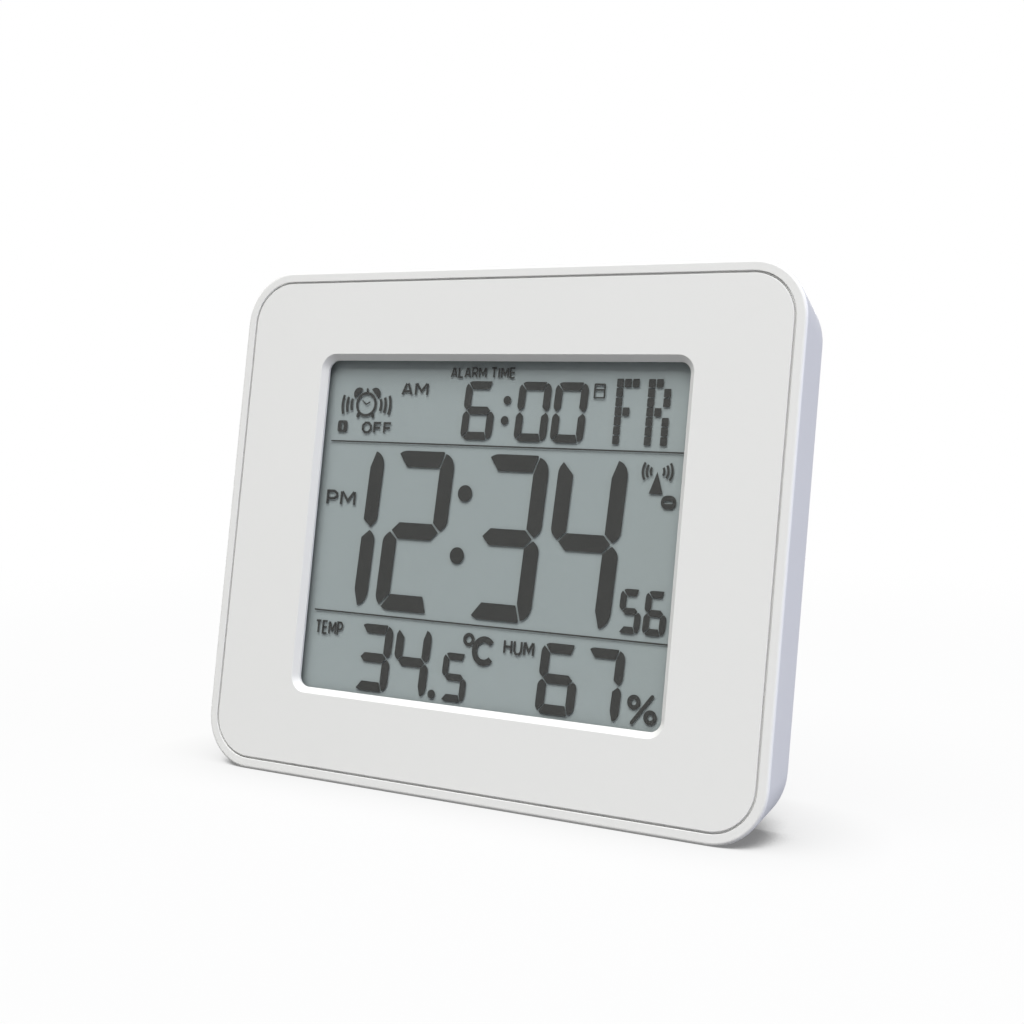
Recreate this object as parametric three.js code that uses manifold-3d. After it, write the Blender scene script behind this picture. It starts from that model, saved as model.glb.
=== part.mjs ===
import * as THREE from 'three';
import { mergeVertices } from 'three/addons/utils/BufferGeometryUtils.js';
import Module from 'manifold-3d';

// A white digital desk clock that leans back on its own bottom wall.
// Lengths are millimetres. Pieces are laid out square to the face: x to the right, y (depth) from the
// face into the case, z up the face. The finished body is then leaned back and stood on z = 0.

const wasm = await Module();
wasm.setup();

// Case: the top and bottom walls are drafted by the lean angle, so the bottom wall lies flat on the table.
const CASE_WIDTH = 114.5;
const CASE_HEIGHT = 94.9;
const CASE_CORNER = 9.95;
const LEAN = THREE.MathUtils.degToRad(10.2);
const SIDE_DRAFT = THREE.MathUtils.degToRad(8.4);
const FRONT_EDGE = 0.5;
const REAR_EDGE = 0.5;
const RIM_WIDTH = 1.85;
const SIDE_WALL = 2.05;
const BACK_WALL = 2;

// Face panel, set flush in the case mouth behind a fine groove. Its end borders cover the snooze works above
// the display and the antenna below it, so the window takes the height they leave.
const GROOVE = 0.4;
const GROOVE_EDGE = 0.15;
const PANEL_THICKNESS = 1.5;
const PANEL_LEDGE = 1.3;
const WINDOW_WIDTH = 76.8;
const WINDOW_END_BORDER = 15.65;
const WINDOW_HEIGHT = CASE_HEIGHT - 2 * WINDOW_END_BORDER;
const WINDOW_CORNER = 3.1;
const WINDOW_BEVEL = 1.15;

// Display stack behind the window, front to back.
const LENS_THICKNESS = 0.5;
const GLASS_THICKNESS = 0.6;
const GLASS_SIDE_MARGIN = 2.2;
const GLASS_END_MARGIN = 3.3;
const CONTACT_LEDGE = 2.2;
const REFLECTOR_THICKNESS = 0.2;
const RIB_WALL = 1.2;
const RETAINER_THICKNESS = 1.9;
const STRIP_THICKNESS = 1.5;
const STRIP_END_MARGIN = 3;
const BOARD_THICKNESS = 1.2;
const BOARD_MARGIN = 1.1;
const REAR_SPACE = 3.6;

// Clearances.
const LAY_GAP = 0.15;
const FIT_GAP = 0.3;
const BOSS_CLEARANCE = 0.6;

// Fasteners.
const CASE_BOSS_RADIUS = 3;
const CASE_BOSS_FROM_SIDE = 9.25;
const CASE_BOSS_FROM_END = 8.45;
const CASE_POST_HEIGHT = 1.1;
const CASE_SCREW_RADIUS = 1.3;
const CASE_HEAD_RADIUS = 2.8;
const CASE_HEAD_HEIGHT = 1.35;
const CASE_HEAD_SINK = 1.8;
const BOARD_BOSS_RADIUS = 2.2;
const BOARD_SCREW_RADIUS = 0.85;
const BOARD_HEAD_RADIUS = 1.8;
const BOARD_HEAD_HEIGHT = 1.1;
const PILOT_SKIN = 0.6;
const SCREW_TIP_GAP = 0.8;

// Two AA cells, one above the other, in a bay that closes with a hooked door.
const CELL_LENGTH = 50.5;
const CELL_DIAMETER = 14.5;
const CELL_GAP = 0.6;
const NUB_LENGTH = 1.5;
const NUB_RADIUS = 2.7;
const CELL_RIM = 0.6;
const CONTACT_THICKNESS = 0.5;
const CONTACT_HALF_HEIGHT = 6;
const CONTACT_TAB_WIDTH = 3;
const CONTACT_TAB_REACH = 2.8;
const SPRING_LENGTH = 5;
const SPRING_RADIUS = 4;
const SPRING_PITCH = 1.35;
const SPRING_WIRE = 0.8;
const LEAD_RADIUS = 0.5;
const LEAD_REACH = 6.5;
const BAY_FLOOR = 1.5;
const BAY_SILL = 4.13;
const HUMP_WALL = 2.6;
const HUMP_TAPER = 2.4;
const HUMP_CORNER = 3;
const HUMP_EDGE = 0.8;
const DOOR_THICKNESS = 1.6;
const DOOR_LEDGE = 1.2;
const DOOR_CORNER = 1.5;
const HOOK_WIDTH = 6;
const HOOK_SPACING = 36;
const HOOK_REACH = 1.4;
const HOOK_ROOT = 1.5;
const HOOK_THICKNESS = 1.1;
const HOOK_SWING = 0.8;
const NOTCH_WIDTH = 14;
const NOTCH_RADIUS = 4;

// Controls on the back and top.
const BUTTON_WIDTH = 10;
const BUTTON_HEIGHT = 5;
const BUTTON_CORNER = 2.4;
const BUTTON_EDGE = 0.4;
const BUTTON_PITCH = 17;
const BUTTON_DROP = 23.45;
const BUTTON_PROUD = 0.7;
const BUTTON_TRAVEL = 0.7;
const STEM_RADIUS = 1.4;
const FLANGE_LIP = 1.2;
const FLANGE_THICKNESS = 0.9;
const STRIP_RECESS = 0.8;
const STRIP_BORDER = 3;
const TACT_SIZE = 6;
const TACT_HEIGHT = 0.45;
const TACT_CLEARANCE = 0.25;
const KNOB_WIDTH = 5.2;
const KNOB_HEIGHT = 3.4;
const KNOB_PROUD = 0.9;
const KNOB_TRAVEL = 4;
const KNOB_SPOT = 28;
const SNOOZE_WIDTH = 38;
const SNOOZE_DEPTH = 5.2;
const SNOOZE_SPOT = 7.2;
const SNOOZE_PROUD = 0.9;
const SNOOZE_TRAVEL = 1;
const SNOOZE_FLANGE = 1.3;
const SNOOZE_STEM = 1.5;
const SNOOZE_SWITCH_HEIGHT = 4.5;

// Electronics and openings for sound and air.
const ANTENNA_LENGTH = 60;
const ANTENNA_RADIUS = 2.5;
const COIL_LENGTH = 24;
const COIL_WALL = 0.85;
const CRADLE_WIDTH = 4;
const CRADLE_WALL = 1.1;
const CRADLE_SPOT = 22;
const BUZZER_RADIUS = 6.5;
const BUZZER_HEIGHT = 2.75;
const BUZZER_EDGE = 0.3;
const BLOB_RADIUS = 6;
const BLOB_HEIGHT = 1.4;
const RECEIVER_WIDTH = 6;
const RECEIVER_HEIGHT = 5;
const RECEIVER_THICKNESS = 1.4;
const CRYSTAL_WIDTH = 2.5;
const CRYSTAL_HEIGHT = 8;
const CRYSTAL_THICKNESS = 2.4;
const SENSOR_WIDTH = 5;
const SENSOR_HEIGHT = 7;
const SENSOR_THICKNESS = 1.8;
const SENSOR_FROM_EDGE = 1.5;
const SLOT_LENGTH = 9;
const SLOT_WIDTH = 1.2;
const SLOT_PITCH = 2.6;
const SLOT_COUNT = 4;

const ARC_STEPS = 6;
const ROUND_STEPS = 16;
const SCREW_STEPS = 12;
const CELL_STEPS = 24;
const OVERLAP = 0.2;
const DRAFT = Math.tan(LEAN);
const SIDE_SLOPE = Math.tan(SIDE_DRAFT);

// Depths of the stack, measured from the face.
const lensFront = PANEL_THICKNESS + LAY_GAP;
const lensBack = lensFront + LENS_THICKNESS;
const glassFront = lensBack + LAY_GAP;
const glassMiddle = glassFront + GLASS_THICKNESS;
const glassBack = glassMiddle + GLASS_THICKNESS;
const reflectorFront = glassBack + LAY_GAP;
const reflectorBack = reflectorFront + REFLECTOR_THICKNESS;
const retainerFront = reflectorBack + LAY_GAP;
const retainerBack = retainerFront + RETAINER_THICKNESS;
const boardFront = retainerBack + FIT_GAP;
const boardBack = boardFront + BOARD_THICKNESS;
const partFront = boardBack + LAY_GAP;
const backInner = boardBack + REAR_SPACE;
const backOuter = backInner + BACK_WALL;
const doorInner = backInner + CELL_DIAMETER + 2 * FIT_GAP;
const doorSeat = doorInner - FIT_GAP;
const humpRear = doorInner + DOOR_THICKNESS;

// Half sizes in the plane of the face.
const caseHalfWidth = CASE_WIDTH / 2;
const caseHalfHeight = CASE_HEIGHT / 2;
const pocketHalfWidth = caseHalfWidth - RIM_WIDTH;
const pocketHalfHeight = caseHalfHeight - RIM_WIDTH;
const pocketCorner = CASE_CORNER - RIM_WIDTH;
const glassHalfWidth = WINDOW_WIDTH / 2 - WINDOW_BEVEL + GLASS_SIDE_MARGIN;
const glassHalfHeight = WINDOW_HEIGHT / 2 - WINDOW_BEVEL + GLASS_END_MARGIN;
const ribHalfWidth = glassHalfWidth + FIT_GAP + RIB_WALL;
const ribHalfHeight = glassHalfHeight + FIT_GAP + RIB_WALL;
const boardBossX = ribHalfWidth + BOARD_BOSS_RADIUS + FIT_GAP;
const boardBossZ = glassHalfHeight * 0.8;
const boardHalfWidth = boardBossX + BOARD_BOSS_RADIUS + FIT_GAP;
const boardHalfHeight = glassHalfHeight + BOARD_MARGIN;
const caseBossX = caseHalfWidth - CASE_BOSS_FROM_SIDE;
const caseBossZ = caseHalfHeight - CASE_BOSS_FROM_END;

// Battery bay and the hump that holds it.
const bayHalfLength = (CELL_LENGTH + SPRING_LENGTH + 2 * CONTACT_THICKNESS + 5 * FIT_GAP) / 2;
const bayHeight = 2 * CELL_DIAMETER + 3 * CELL_GAP;
const bayBottom = floorAt(humpRear) + BAY_SILL;
const bayTop = bayBottom + bayHeight;
const lowerCellZ = bayBottom + CELL_GAP + CELL_DIAMETER / 2;
const upperCellZ = lowerCellZ + CELL_DIAMETER + CELL_GAP;
const cellDepth = backInner + FIT_GAP + CELL_DIAMETER / 2;
const contactX = bayHalfLength - FIT_GAP - CONTACT_THICKNESS / 2;
const humpHalfWidth = bayHalfLength + DOOR_LEDGE + HUMP_WALL;
const humpTop = bayTop + DOOR_LEDGE + HUMP_WALL;
const doorBottom = bayBottom - DOOR_LEDGE + FIT_GAP;
const doorTop = bayTop + DOOR_LEDGE - FIT_GAP;
const hookFront = doorInner - HOOK_THICKNESS;

// Controls.
const buttonZ = caseHalfHeight - BUTTON_DROP;
const stripHalfHeight = BUTTON_HEIGHT / 2 + STRIP_BORDER;
const lowerRowZ = (buttonZ - stripHalfHeight + humpTop + HUMP_TAPER) / 2;
const flangeBack = backInner - FIT_GAP;
const flangeFront = flangeBack - FLANGE_THICKNESS;
const stemTip = partFront + TACT_HEIGHT + TACT_CLEARANCE + BUTTON_TRAVEL;
const ceilingBehindSnooze = innerHalfHeight(SNOOZE_SPOT + SNOOZE_DEPTH / 2 + FLANGE_LIP);
const snoozeFlangeTop = ceilingBehindSnooze - FIT_GAP;
const snoozeFlangeBottom = snoozeFlangeTop - SNOOZE_FLANGE;
const snoozeSwitchTop = boardHalfHeight + SNOOZE_SWITCH_HEIGHT / 2;
const cradleReach = ANTENNA_RADIUS + FIT_GAP + CRADLE_WALL;
const coilReach = ANTENNA_RADIUS + LAY_GAP + COIL_WALL;
const antennaZ = -(boardHalfHeight + Math.max(cradleReach, coilReach) + FIT_GAP);
const antennaDepth = PANEL_THICKNESS + coilReach + FIT_GAP;
const ventX = (humpHalfWidth + HUMP_TAPER + caseHalfWidth) / 2 - FIT_GAP;

// How far the drafted walls have come in at a depth, and where the table is there.
function draftAt(depth) {
  return (depth - FRONT_EDGE) * DRAFT;
}

function sideDraftAt(depth) {
  return (depth - FRONT_EDGE) * SIDE_SLOPE;
}

function floorAt(depth) {
  return draftAt(depth) - CASE_HEIGHT / 2;
}

function innerHalfHeight(depth) {
  const seat = PANEL_THICKNESS + LAY_GAP;
  const atSeat = CASE_HEIGHT / 2 - RIM_WIDTH - PANEL_LEDGE;
  const atBack = CASE_HEIGHT / 2 - draftAt(backInner) - SIDE_WALL;
  return THREE.MathUtils.mapLinear(depth, seat, backInner, atSeat, atBack);
}

// Outlines run anticlockwise as the face is seen.
function roundedOutline(halfWidth, bottom, top, corner) {
  const corners = [
    [halfWidth - corner, bottom + corner, -0.5],
    [halfWidth - corner, top - corner, 0],
    [corner - halfWidth, top - corner, 0.5],
    [corner - halfWidth, bottom + corner, 1],
  ];
  const points = [];
  for (const [x, z, start] of corners) {
    for (let step = 0; step <= ARC_STEPS; step += 1) {
      const angle = Math.PI * (start + step / ARC_STEPS / 2);
      points.push(new THREE.Vector2(x + corner * Math.cos(angle), z + corner * Math.sin(angle)));
    }
  }
  return points;
}

function centredOutline(halfWidth, halfHeight, corner) {
  return roundedOutline(halfWidth, -halfHeight, halfHeight, corner);
}

// A closed skin over convex outlines of equal point count, from the shallowest to the deepest.
function loft(sections) {
  const count = sections[0].outline.length;
  const positions = [];
  for (const { depth, outline } of sections) {
    outline.forEach((point) => positions.push(point.x, depth, point.y));
  }
  const index = [];
  const last = (sections.length - 1) * count;
  for (let k = 1; k < count - 1; k += 1) {
    index.push(0, k, k + 1);
    index.push(last, last + k + 1, last + k);
  }
  for (let ring = 0; ring < last; ring += count) {
    for (let k = 0; k < count; k += 1) {
      const next = (k + 1) % count;
      index.push(ring + k, ring + count + k, ring + count + next);
      index.push(ring + k, ring + count + next, ring + next);
    }
  }
  const geometry = new THREE.BufferGeometry();
  geometry.setAttribute('position', new THREE.Float32BufferAttribute(positions, 3));
  geometry.setIndex(index);
  return geometry;
}

function plate(outline, front, back) {
  return loft([{ depth: front, outline }, { depth: back, outline }]);
}

function block(left, right, front, back, bottom, top) {
  const geometry = new THREE.BoxGeometry(right - left, back - front, top - bottom);
  return geometry.translate((left + right) / 2, (front + back) / 2, (bottom + top) / 2);
}

function peg(x, z, radius, front, back, steps = ROUND_STEPS) {
  const geometry = new THREE.CylinderGeometry(radius, radius, back - front, steps);
  return geometry.translate(x, (front + back) / 2, z);
}

function barAlongX(radius, length, depth, z, steps = ROUND_STEPS) {
  const geometry = new THREE.CylinderGeometry(radius, radius, length, steps);
  return geometry.rotateZ(Math.PI / 2).translate(0, depth, z);
}

// Turned piece on the depth axis; each profile point is a radius and a depth, deepest last.
function turned(profile, x, z, steps = ROUND_STEPS) {
  const points = profile.map(([radius, depth]) => new THREE.Vector2(radius, depth));
  return new THREE.LatheGeometry(points, steps).translate(x, 0, z);
}

// Boolean joins and cuts.
function solidOf(geometry) {
  const bare = geometry.clone();
  bare.deleteAttribute('normal');
  bare.deleteAttribute('uv');
  const merged = mergeVertices(bare, 1e-4);
  const vertProperties = new Float32Array(merged.attributes.position.array);
  const triVerts = new Uint32Array(merged.index.array);
  return new wasm.Manifold(new wasm.Mesh({ numProp: 3, vertProperties, triVerts }));
}

function geometryOf(solid) {
  const mesh = solid.getMesh();
  const geometry = new THREE.BufferGeometry();
  geometry.setAttribute('position', new THREE.Float32BufferAttribute(mesh.vertProperties, 3));
  geometry.setIndex([...mesh.triVerts]);
  geometry.computeVertexNormals();
  return geometry;
}

function joined(base, ...additions) {
  return geometryOf(additions.reduce((solid, piece) => solid.add(solidOf(piece)), solidOf(base)));
}

function cut(base, ...cutters) {
  return geometryOf(cutters.reduce((solid, piece) => solid.subtract(solidOf(piece)), solidOf(base)));
}

function common(base, mask) {
  return geometryOf(solidOf(base).intersect(solidOf(mask)));
}

// Places that repeat.
const SIDES = [-1, 1];
const caseCorners = SIDES.flatMap((x) => SIDES.map((z) => [x * caseBossX, z * caseBossZ]));
const boardCorners = SIDES.flatMap((x) => SIDES.map((z) => [x * boardBossX, z * boardBossZ]));
const buttonNames = ['time_set', 'alarm_set', 'up', 'down', 'receive'];
const buttonSpots = buttonNames.map((name, k) => (k - (buttonNames.length - 1) / 2) * BUTTON_PITCH);
const knobX = KNOB_SPOT;
const buzzerX = -KNOB_SPOT;

// Case: a drafted cup with its back wall, open to the front.
function caseShell() {
  const edge = [0, 0.25, 0.5].map((turn) => {
    const inset = FRONT_EDGE * (1 - Math.sin(turn * Math.PI));
    const depth = FRONT_EDGE * (1 - Math.cos(turn * Math.PI));
    return { depth, outline: caseOutline(FRONT_EDGE, inset) };
  });
  const rearStart = backOuter - REAR_EDGE;
  return loft([
    ...edge,
    { depth: rearStart, outline: caseOutline(rearStart, 0) },
    { depth: backOuter, outline: caseOutline(backOuter, REAR_EDGE) },
  ]);
}

// The outline that the walls have drafted to at a depth, less an inset.
function caseOutline(depth, inset) {
  const halfWidth = caseHalfWidth - sideDraftAt(depth) - inset;
  return centredOutline(halfWidth, caseHalfHeight - draftAt(depth) - inset, CASE_CORNER - inset);
}

// The mouth takes the face panel, and the cavity behind its ledge takes the works.
function caseMouth() {
  const pocket = centredOutline(pocketHalfWidth, pocketHalfHeight, pocketCorner);
  const eased = centredOutline(
    pocketHalfWidth + GROOVE_EDGE,
    pocketHalfHeight + GROOVE_EDGE,
    pocketCorner + GROOVE_EDGE,
  );
  return loft([
    { depth: -1, outline: eased },
    { depth: 0, outline: eased },
    { depth: GROOVE_EDGE, outline: pocket },
    { depth: lensFront, outline: pocket },
  ]);
}

function caseCavity() {
  const corner = pocketCorner - PANEL_LEDGE;
  const front = lensFront - OVERLAP;
  const frontHalfWidth = pocketHalfWidth - PANEL_LEDGE;
  const backHalfWidth = caseHalfWidth - sideDraftAt(backInner) - SIDE_WALL;
  return loft([
    { depth: front, outline: centredOutline(frontHalfWidth, innerHalfHeight(lensFront), corner) },
    { depth: backInner, outline: centredOutline(backHalfWidth, innerHalfHeight(backInner), corner) },
  ]);
}

// The hump behind the case holds the cells and is the rear foot.
function humpSection(depth, inset) {
  const share = (humpRear - depth) / (humpRear - backOuter);
  const halfWidth = humpHalfWidth + HUMP_TAPER * share - inset;
  const top = humpTop + HUMP_TAPER * share - inset;
  return { depth, outline: roundedOutline(halfWidth, floorAt(depth) + inset, top, HUMP_CORNER - inset) };
}

function hump() {
  const rooted = humpSection(backInner + BACK_WALL / 2, 0);
  return loft([rooted, humpSection(humpRear - HUMP_EDGE, 0), humpSection(humpRear, HUMP_EDGE)]);
}

function bayCut() {
  return block(-bayHalfLength, bayHalfLength, backInner, humpRear + 1, bayBottom, bayTop);
}

function bayFloor() {
  const half = bayHalfLength + BAY_FLOOR;
  const front = backInner - BAY_FLOOR;
  return block(-half, half, front, backInner + OVERLAP, bayBottom - BAY_FLOOR, bayTop + BAY_FLOOR);
}

function doorRecess() {
  const half = bayHalfLength + DOOR_LEDGE;
  const outline = roundedOutline(half, bayBottom - DOOR_LEDGE, bayTop + DOOR_LEDGE, DOOR_CORNER);
  return plate(outline, doorSeat, humpRear + 1);
}

function hookSlot(side) {
  const middle = side * HOOK_SPACING / 2;
  const half = HOOK_WIDTH / 2 + FIT_GAP;
  const bottom = doorBottom - HOOK_REACH - FIT_GAP;
  const top = doorBottom + HOOK_ROOT + FIT_GAP;
  return block(middle - half, middle + half, hookFront - HOOK_SWING, doorInner + FIT_GAP, bottom, top);
}

// A thumb notch over the upper edge of the door.
function thumbNotch() {
  return barAlongX(NOTCH_RADIUS, NOTCH_WIDTH, humpRear + NOTCH_RADIUS / 2, doorTop);
}

function tabSlot(z) {
  const half = CONTACT_TAB_WIDTH / 2 + FIT_GAP;
  const reach = CONTACT_THICKNESS / 2 + FIT_GAP;
  const front = backInner - BAY_FLOOR - 1;
  return block(contactX - reach, contactX + reach, front, backInner + OVERLAP, z - half, z + half);
}

function slotRow(x, z) {
  const outline = centredOutline(SLOT_LENGTH / 2, SLOT_WIDTH / 2, SLOT_WIDTH * 0.45);
  return Array.from({ length: SLOT_COUNT }, (_, k) => {
    const rise = (k - (SLOT_COUNT - 1) / 2) * SLOT_PITCH;
    return plate(outline, backInner - 1, backOuter + 1).translate(x, 0, z + rise);
  });
}

function buttonStrip() {
  const half = buttonSpots.at(-1) + BUTTON_WIDTH / 2 + STRIP_BORDER;
  const outline = roundedOutline(half, buttonZ - stripHalfHeight, buttonZ + stripHalfHeight, STRIP_BORDER);
  return plate(outline, backOuter - STRIP_RECESS, backOuter + 1);
}

function buttonHole(x) {
  const [halfWidth, halfHeight] = [BUTTON_WIDTH / 2 + FIT_GAP, BUTTON_HEIGHT / 2 + FIT_GAP];
  const outline = centredOutline(halfWidth, halfHeight, BUTTON_CORNER + FIT_GAP);
  return plate(outline, backInner - 1, backOuter + 1).translate(x, 0, buttonZ);
}

function knobSlot() {
  const halfWidth = (KNOB_WIDTH + KNOB_TRAVEL) / 2 + FIT_GAP;
  const halfHeight = KNOB_HEIGHT / 2 + FIT_GAP;
  const [bottom, top] = [lowerRowZ - halfHeight, lowerRowZ + halfHeight];
  return block(knobX - halfWidth, knobX + halfWidth, backInner - 1, backOuter + 1, bottom, top);
}

// Plan of the snooze bar, seen from above, carried up through the top wall.
function snoozePlan(margin, bottom, top) {
  const outline = centredOutline(SNOOZE_WIDTH / 2 + margin, SNOOZE_DEPTH / 2 + margin, SNOOZE_DEPTH / 2.2);
  const shape = new THREE.Shape(outline);
  const geometry = new THREE.ExtrudeGeometry(shape, { depth: top - bottom, bevelEnabled: false });
  return geometry.translate(0, SNOOZE_SPOT, bottom);
}

function snoozeOpening() {
  return snoozePlan(FIT_GAP, snoozeFlangeTop, caseHalfHeight + 1);
}

function rearCase() {
  const posts = caseCorners.map(([x, z]) => {
    return peg(x, z, CASE_BOSS_RADIUS + FIT_GAP, backInner - CASE_POST_HEIGHT, backInner + OVERLAP);
  });
  const wells = caseCorners.flatMap(([x, z]) => [
    peg(x, z, CASE_HEAD_RADIUS + FIT_GAP, backOuter - CASE_HEAD_SINK, backOuter + 1),
    peg(x, z, CASE_SCREW_RADIUS + FIT_GAP, backInner - CASE_POST_HEIGHT - 1, backOuter),
  ]);
  const cup = cut(caseShell(), caseMouth(), caseCavity());
  const body = joined(cup, hump(), bayFloor(), ...posts);
  return cut(
    body,
    bayCut(),
    doorRecess(),
    ...SIDES.map(hookSlot),
    thumbNotch(),
    tabSlot(lowerCellZ),
    tabSlot(upperCellZ),
    ...wells,
    buttonStrip(),
    ...buttonSpots.map(buttonHole),
    knobSlot(),
    ...slotRow(buzzerX, lowerRowZ),
    ...slotRow(ventX, upperCellZ),
    snoozeOpening(),
  );
}

// Face panel with its bevelled window; ribs, bosses and antenna cradles stand on its back.
function facePanel() {
  const halfWidth = pocketHalfWidth - GROOVE;
  const halfHeight = pocketHalfHeight - GROOVE;
  const corner = pocketCorner - GROOVE;
  const full = centredOutline(halfWidth, halfHeight, corner);
  const eased = centredOutline(halfWidth - GROOVE_EDGE, halfHeight - GROOVE_EDGE, corner - GROOVE_EDGE);
  const sheet = loft([
    { depth: 0, outline: eased },
    { depth: GROOVE_EDGE, outline: full },
    { depth: PANEL_THICKNESS, outline: full },
  ]);
  const root = PANEL_THICKNESS - OVERLAP;
  const rib = plate(centredOutline(ribHalfWidth, ribHalfHeight, RIB_WALL), root, retainerFront - FIT_GAP);
  const caseBosses = caseCorners.map(([x, z]) => {
    return peg(x, z, CASE_BOSS_RADIUS, root, backInner - CASE_POST_HEIGHT - FIT_GAP);
  });
  const boardBosses = boardCorners.map(([x, z]) => peg(x, z, BOARD_BOSS_RADIUS, root, boardFront - FIT_GAP));
  const cradles = SIDES.map((side) => cradle(side * CRADLE_SPOT));
  const pilotFloor = PANEL_THICKNESS + PILOT_SKIN;
  const pilots = [
    ...caseCorners.map(([x, z]) => peg(x, z, CASE_SCREW_RADIUS + LAY_GAP, pilotFloor, backInner)),
    ...boardCorners.map(([x, z]) => peg(x, z, BOARD_SCREW_RADIUS + LAY_GAP, pilotFloor, boardBack)),
  ];
  const pocket = plate(
    centredOutline(glassHalfWidth + FIT_GAP, glassHalfHeight + FIT_GAP, RIB_WALL / 2),
    PANEL_THICKNESS,
    boardFront,
  );
  return cut(joined(sheet, rib, ...caseBosses, ...boardBosses, ...cradles), windowCut(), pocket, ...pilots);
}

function windowCut() {
  const section = (depth, inset) => ({
    depth,
    outline: centredOutline(WINDOW_WIDTH / 2 - inset, WINDOW_HEIGHT / 2 - inset, WINDOW_CORNER - inset),
  });
  const flare = OVERLAP;
  return loft([
    section(-flare, -flare),
    section(WINDOW_BEVEL, WINDOW_BEVEL),
    section(PANEL_THICKNESS + OVERLAP, WINDOW_BEVEL),
  ]);
}

function cradle(x) {
  const [left, right] = [x - CRADLE_WIDTH / 2, x + CRADLE_WIDTH / 2];
  const [bottom, top] = [antennaZ - cradleReach, antennaZ + cradleReach];
  const stand = block(left, right, PANEL_THICKNESS - OVERLAP, antennaDepth + ANTENNA_RADIUS / 2, bottom, top);
  const bed = barAlongX(ANTENNA_RADIUS + FIT_GAP, CRADLE_WIDTH + 1, antennaDepth, antennaZ).translate(x, 0, 0);
  return cut(stand, bed);
}

// Display: lens, glass cell with contact ledges, reflector, retainer and two contact strips.
function displayLens() {
  return plate(centredOutline(glassHalfWidth, glassHalfHeight, RIB_WALL / 2), lensFront, lensBack);
}

function lcdCell() {
  const half = glassHalfHeight - CONTACT_LEDGE;
  const [left, right] = [-glassHalfWidth, glassHalfWidth];
  const front = block(left, right, glassFront, glassMiddle, -glassHalfHeight, glassHalfHeight);
  const rear = block(left, right, glassMiddle - OVERLAP, glassBack, -half, half);
  return joined(front, rear);
}

function lcdReflector() {
  const half = glassHalfHeight - CONTACT_LEDGE;
  return block(-glassHalfWidth, glassHalfWidth, reflectorFront, reflectorBack, -half, half);
}

function boardOutlinePlate(front, back, holeRadius) {
  const corner = RIB_WALL;
  const sheet = plate(centredOutline(boardHalfWidth, boardHalfHeight, corner), front, back);
  const clear = caseCorners.map(([x, z]) => peg(x, z, CASE_BOSS_RADIUS + BOSS_CLEARANCE, front - 1, back + 1));
  const holes = boardCorners.map(([x, z]) => peg(x, z, holeRadius, front - 1, back + 1));
  return cut(sheet, ...clear, ...holes);
}

// A rubber strip under each end of the glass joins its ledge to the board; the retainer has a slot for it.
function stripBlock(side, margin, front, back) {
  const middle = side * (glassHalfHeight - CONTACT_LEDGE / 2);
  const halfLength = glassHalfWidth - STRIP_END_MARGIN + margin;
  const half = STRIP_THICKNESS / 2 + margin;
  return block(-halfLength, halfLength, front, back, middle - half, middle + half);
}

function lcdRetainer() {
  const slots = SIDES.map((side) => stripBlock(side, FIT_GAP, retainerFront - 1, retainerBack + 1));
  return cut(boardOutlinePlate(retainerFront, retainerBack, BOARD_BOSS_RADIUS + FIT_GAP), ...slots);
}

function contactStrip(side) {
  return stripBlock(side, 0, glassMiddle + LAY_GAP, boardFront - LAY_GAP);
}

function mainBoard() {
  return boardOutlinePlate(boardFront, boardBack, BOARD_SCREW_RADIUS + FIT_GAP);
}

// Screws, each a head with its shank running towards the face.
function screw(x, z, headRadius, headHeight, shankRadius, seat, tip) {
  const profile = [
    [0, tip],
    [shankRadius * 0.6, tip],
    [shankRadius, tip + shankRadius],
    [shankRadius, seat],
    [headRadius, seat],
    [headRadius, seat + headHeight * 0.6],
    [headRadius * 0.7, seat + headHeight],
    [0, seat + headHeight],
  ];
  return turned(profile, x, z, SCREW_STEPS);
}

function caseScrew([x, z]) {
  const seat = backOuter - CASE_HEAD_SINK + LAY_GAP;
  const tip = PANEL_THICKNESS + PILOT_SKIN + SCREW_TIP_GAP;
  return screw(x, z, CASE_HEAD_RADIUS, CASE_HEAD_HEIGHT, CASE_SCREW_RADIUS, seat, tip);
}

function boardScrew([x, z]) {
  const tip = PANEL_THICKNESS + PILOT_SKIN + SCREW_TIP_GAP;
  return screw(x, z, BOARD_HEAD_RADIUS, BOARD_HEAD_HEIGHT, BOARD_SCREW_RADIUS, partFront, tip);
}

// Power: cells, contacts, springs and leads. The upper cell lies the other way round.
function cell(side, z) {
  const radius = CELL_DIAMETER / 2;
  const shoulder = CELL_LENGTH - NUB_LENGTH;
  const profile = [
    [0, 0],
    [radius - CELL_RIM, 0],
    [radius, CELL_RIM],
    [radius, shoulder - CELL_RIM],
    [radius - CELL_RIM, shoulder],
    [NUB_RADIUS, shoulder],
    [NUB_RADIUS, CELL_LENGTH],
    [0, CELL_LENGTH],
  ];
  const start = contactX - CONTACT_THICKNESS / 2 - 2 * FIT_GAP - SPRING_LENGTH;
  const points = profile.map(([r, along]) => new THREE.Vector2(r, along - start));
  return new THREE.LatheGeometry(points, CELL_STEPS).rotateZ(-side * Math.PI / 2).translate(0, cellDepth, z);
}

function contactPlate(x, bottom, top) {
  const half = CONTACT_THICKNESS / 2;
  return block(x - half, x + half, backInner + FIT_GAP, doorSeat - FIT_GAP, bottom, top);
}

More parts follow.
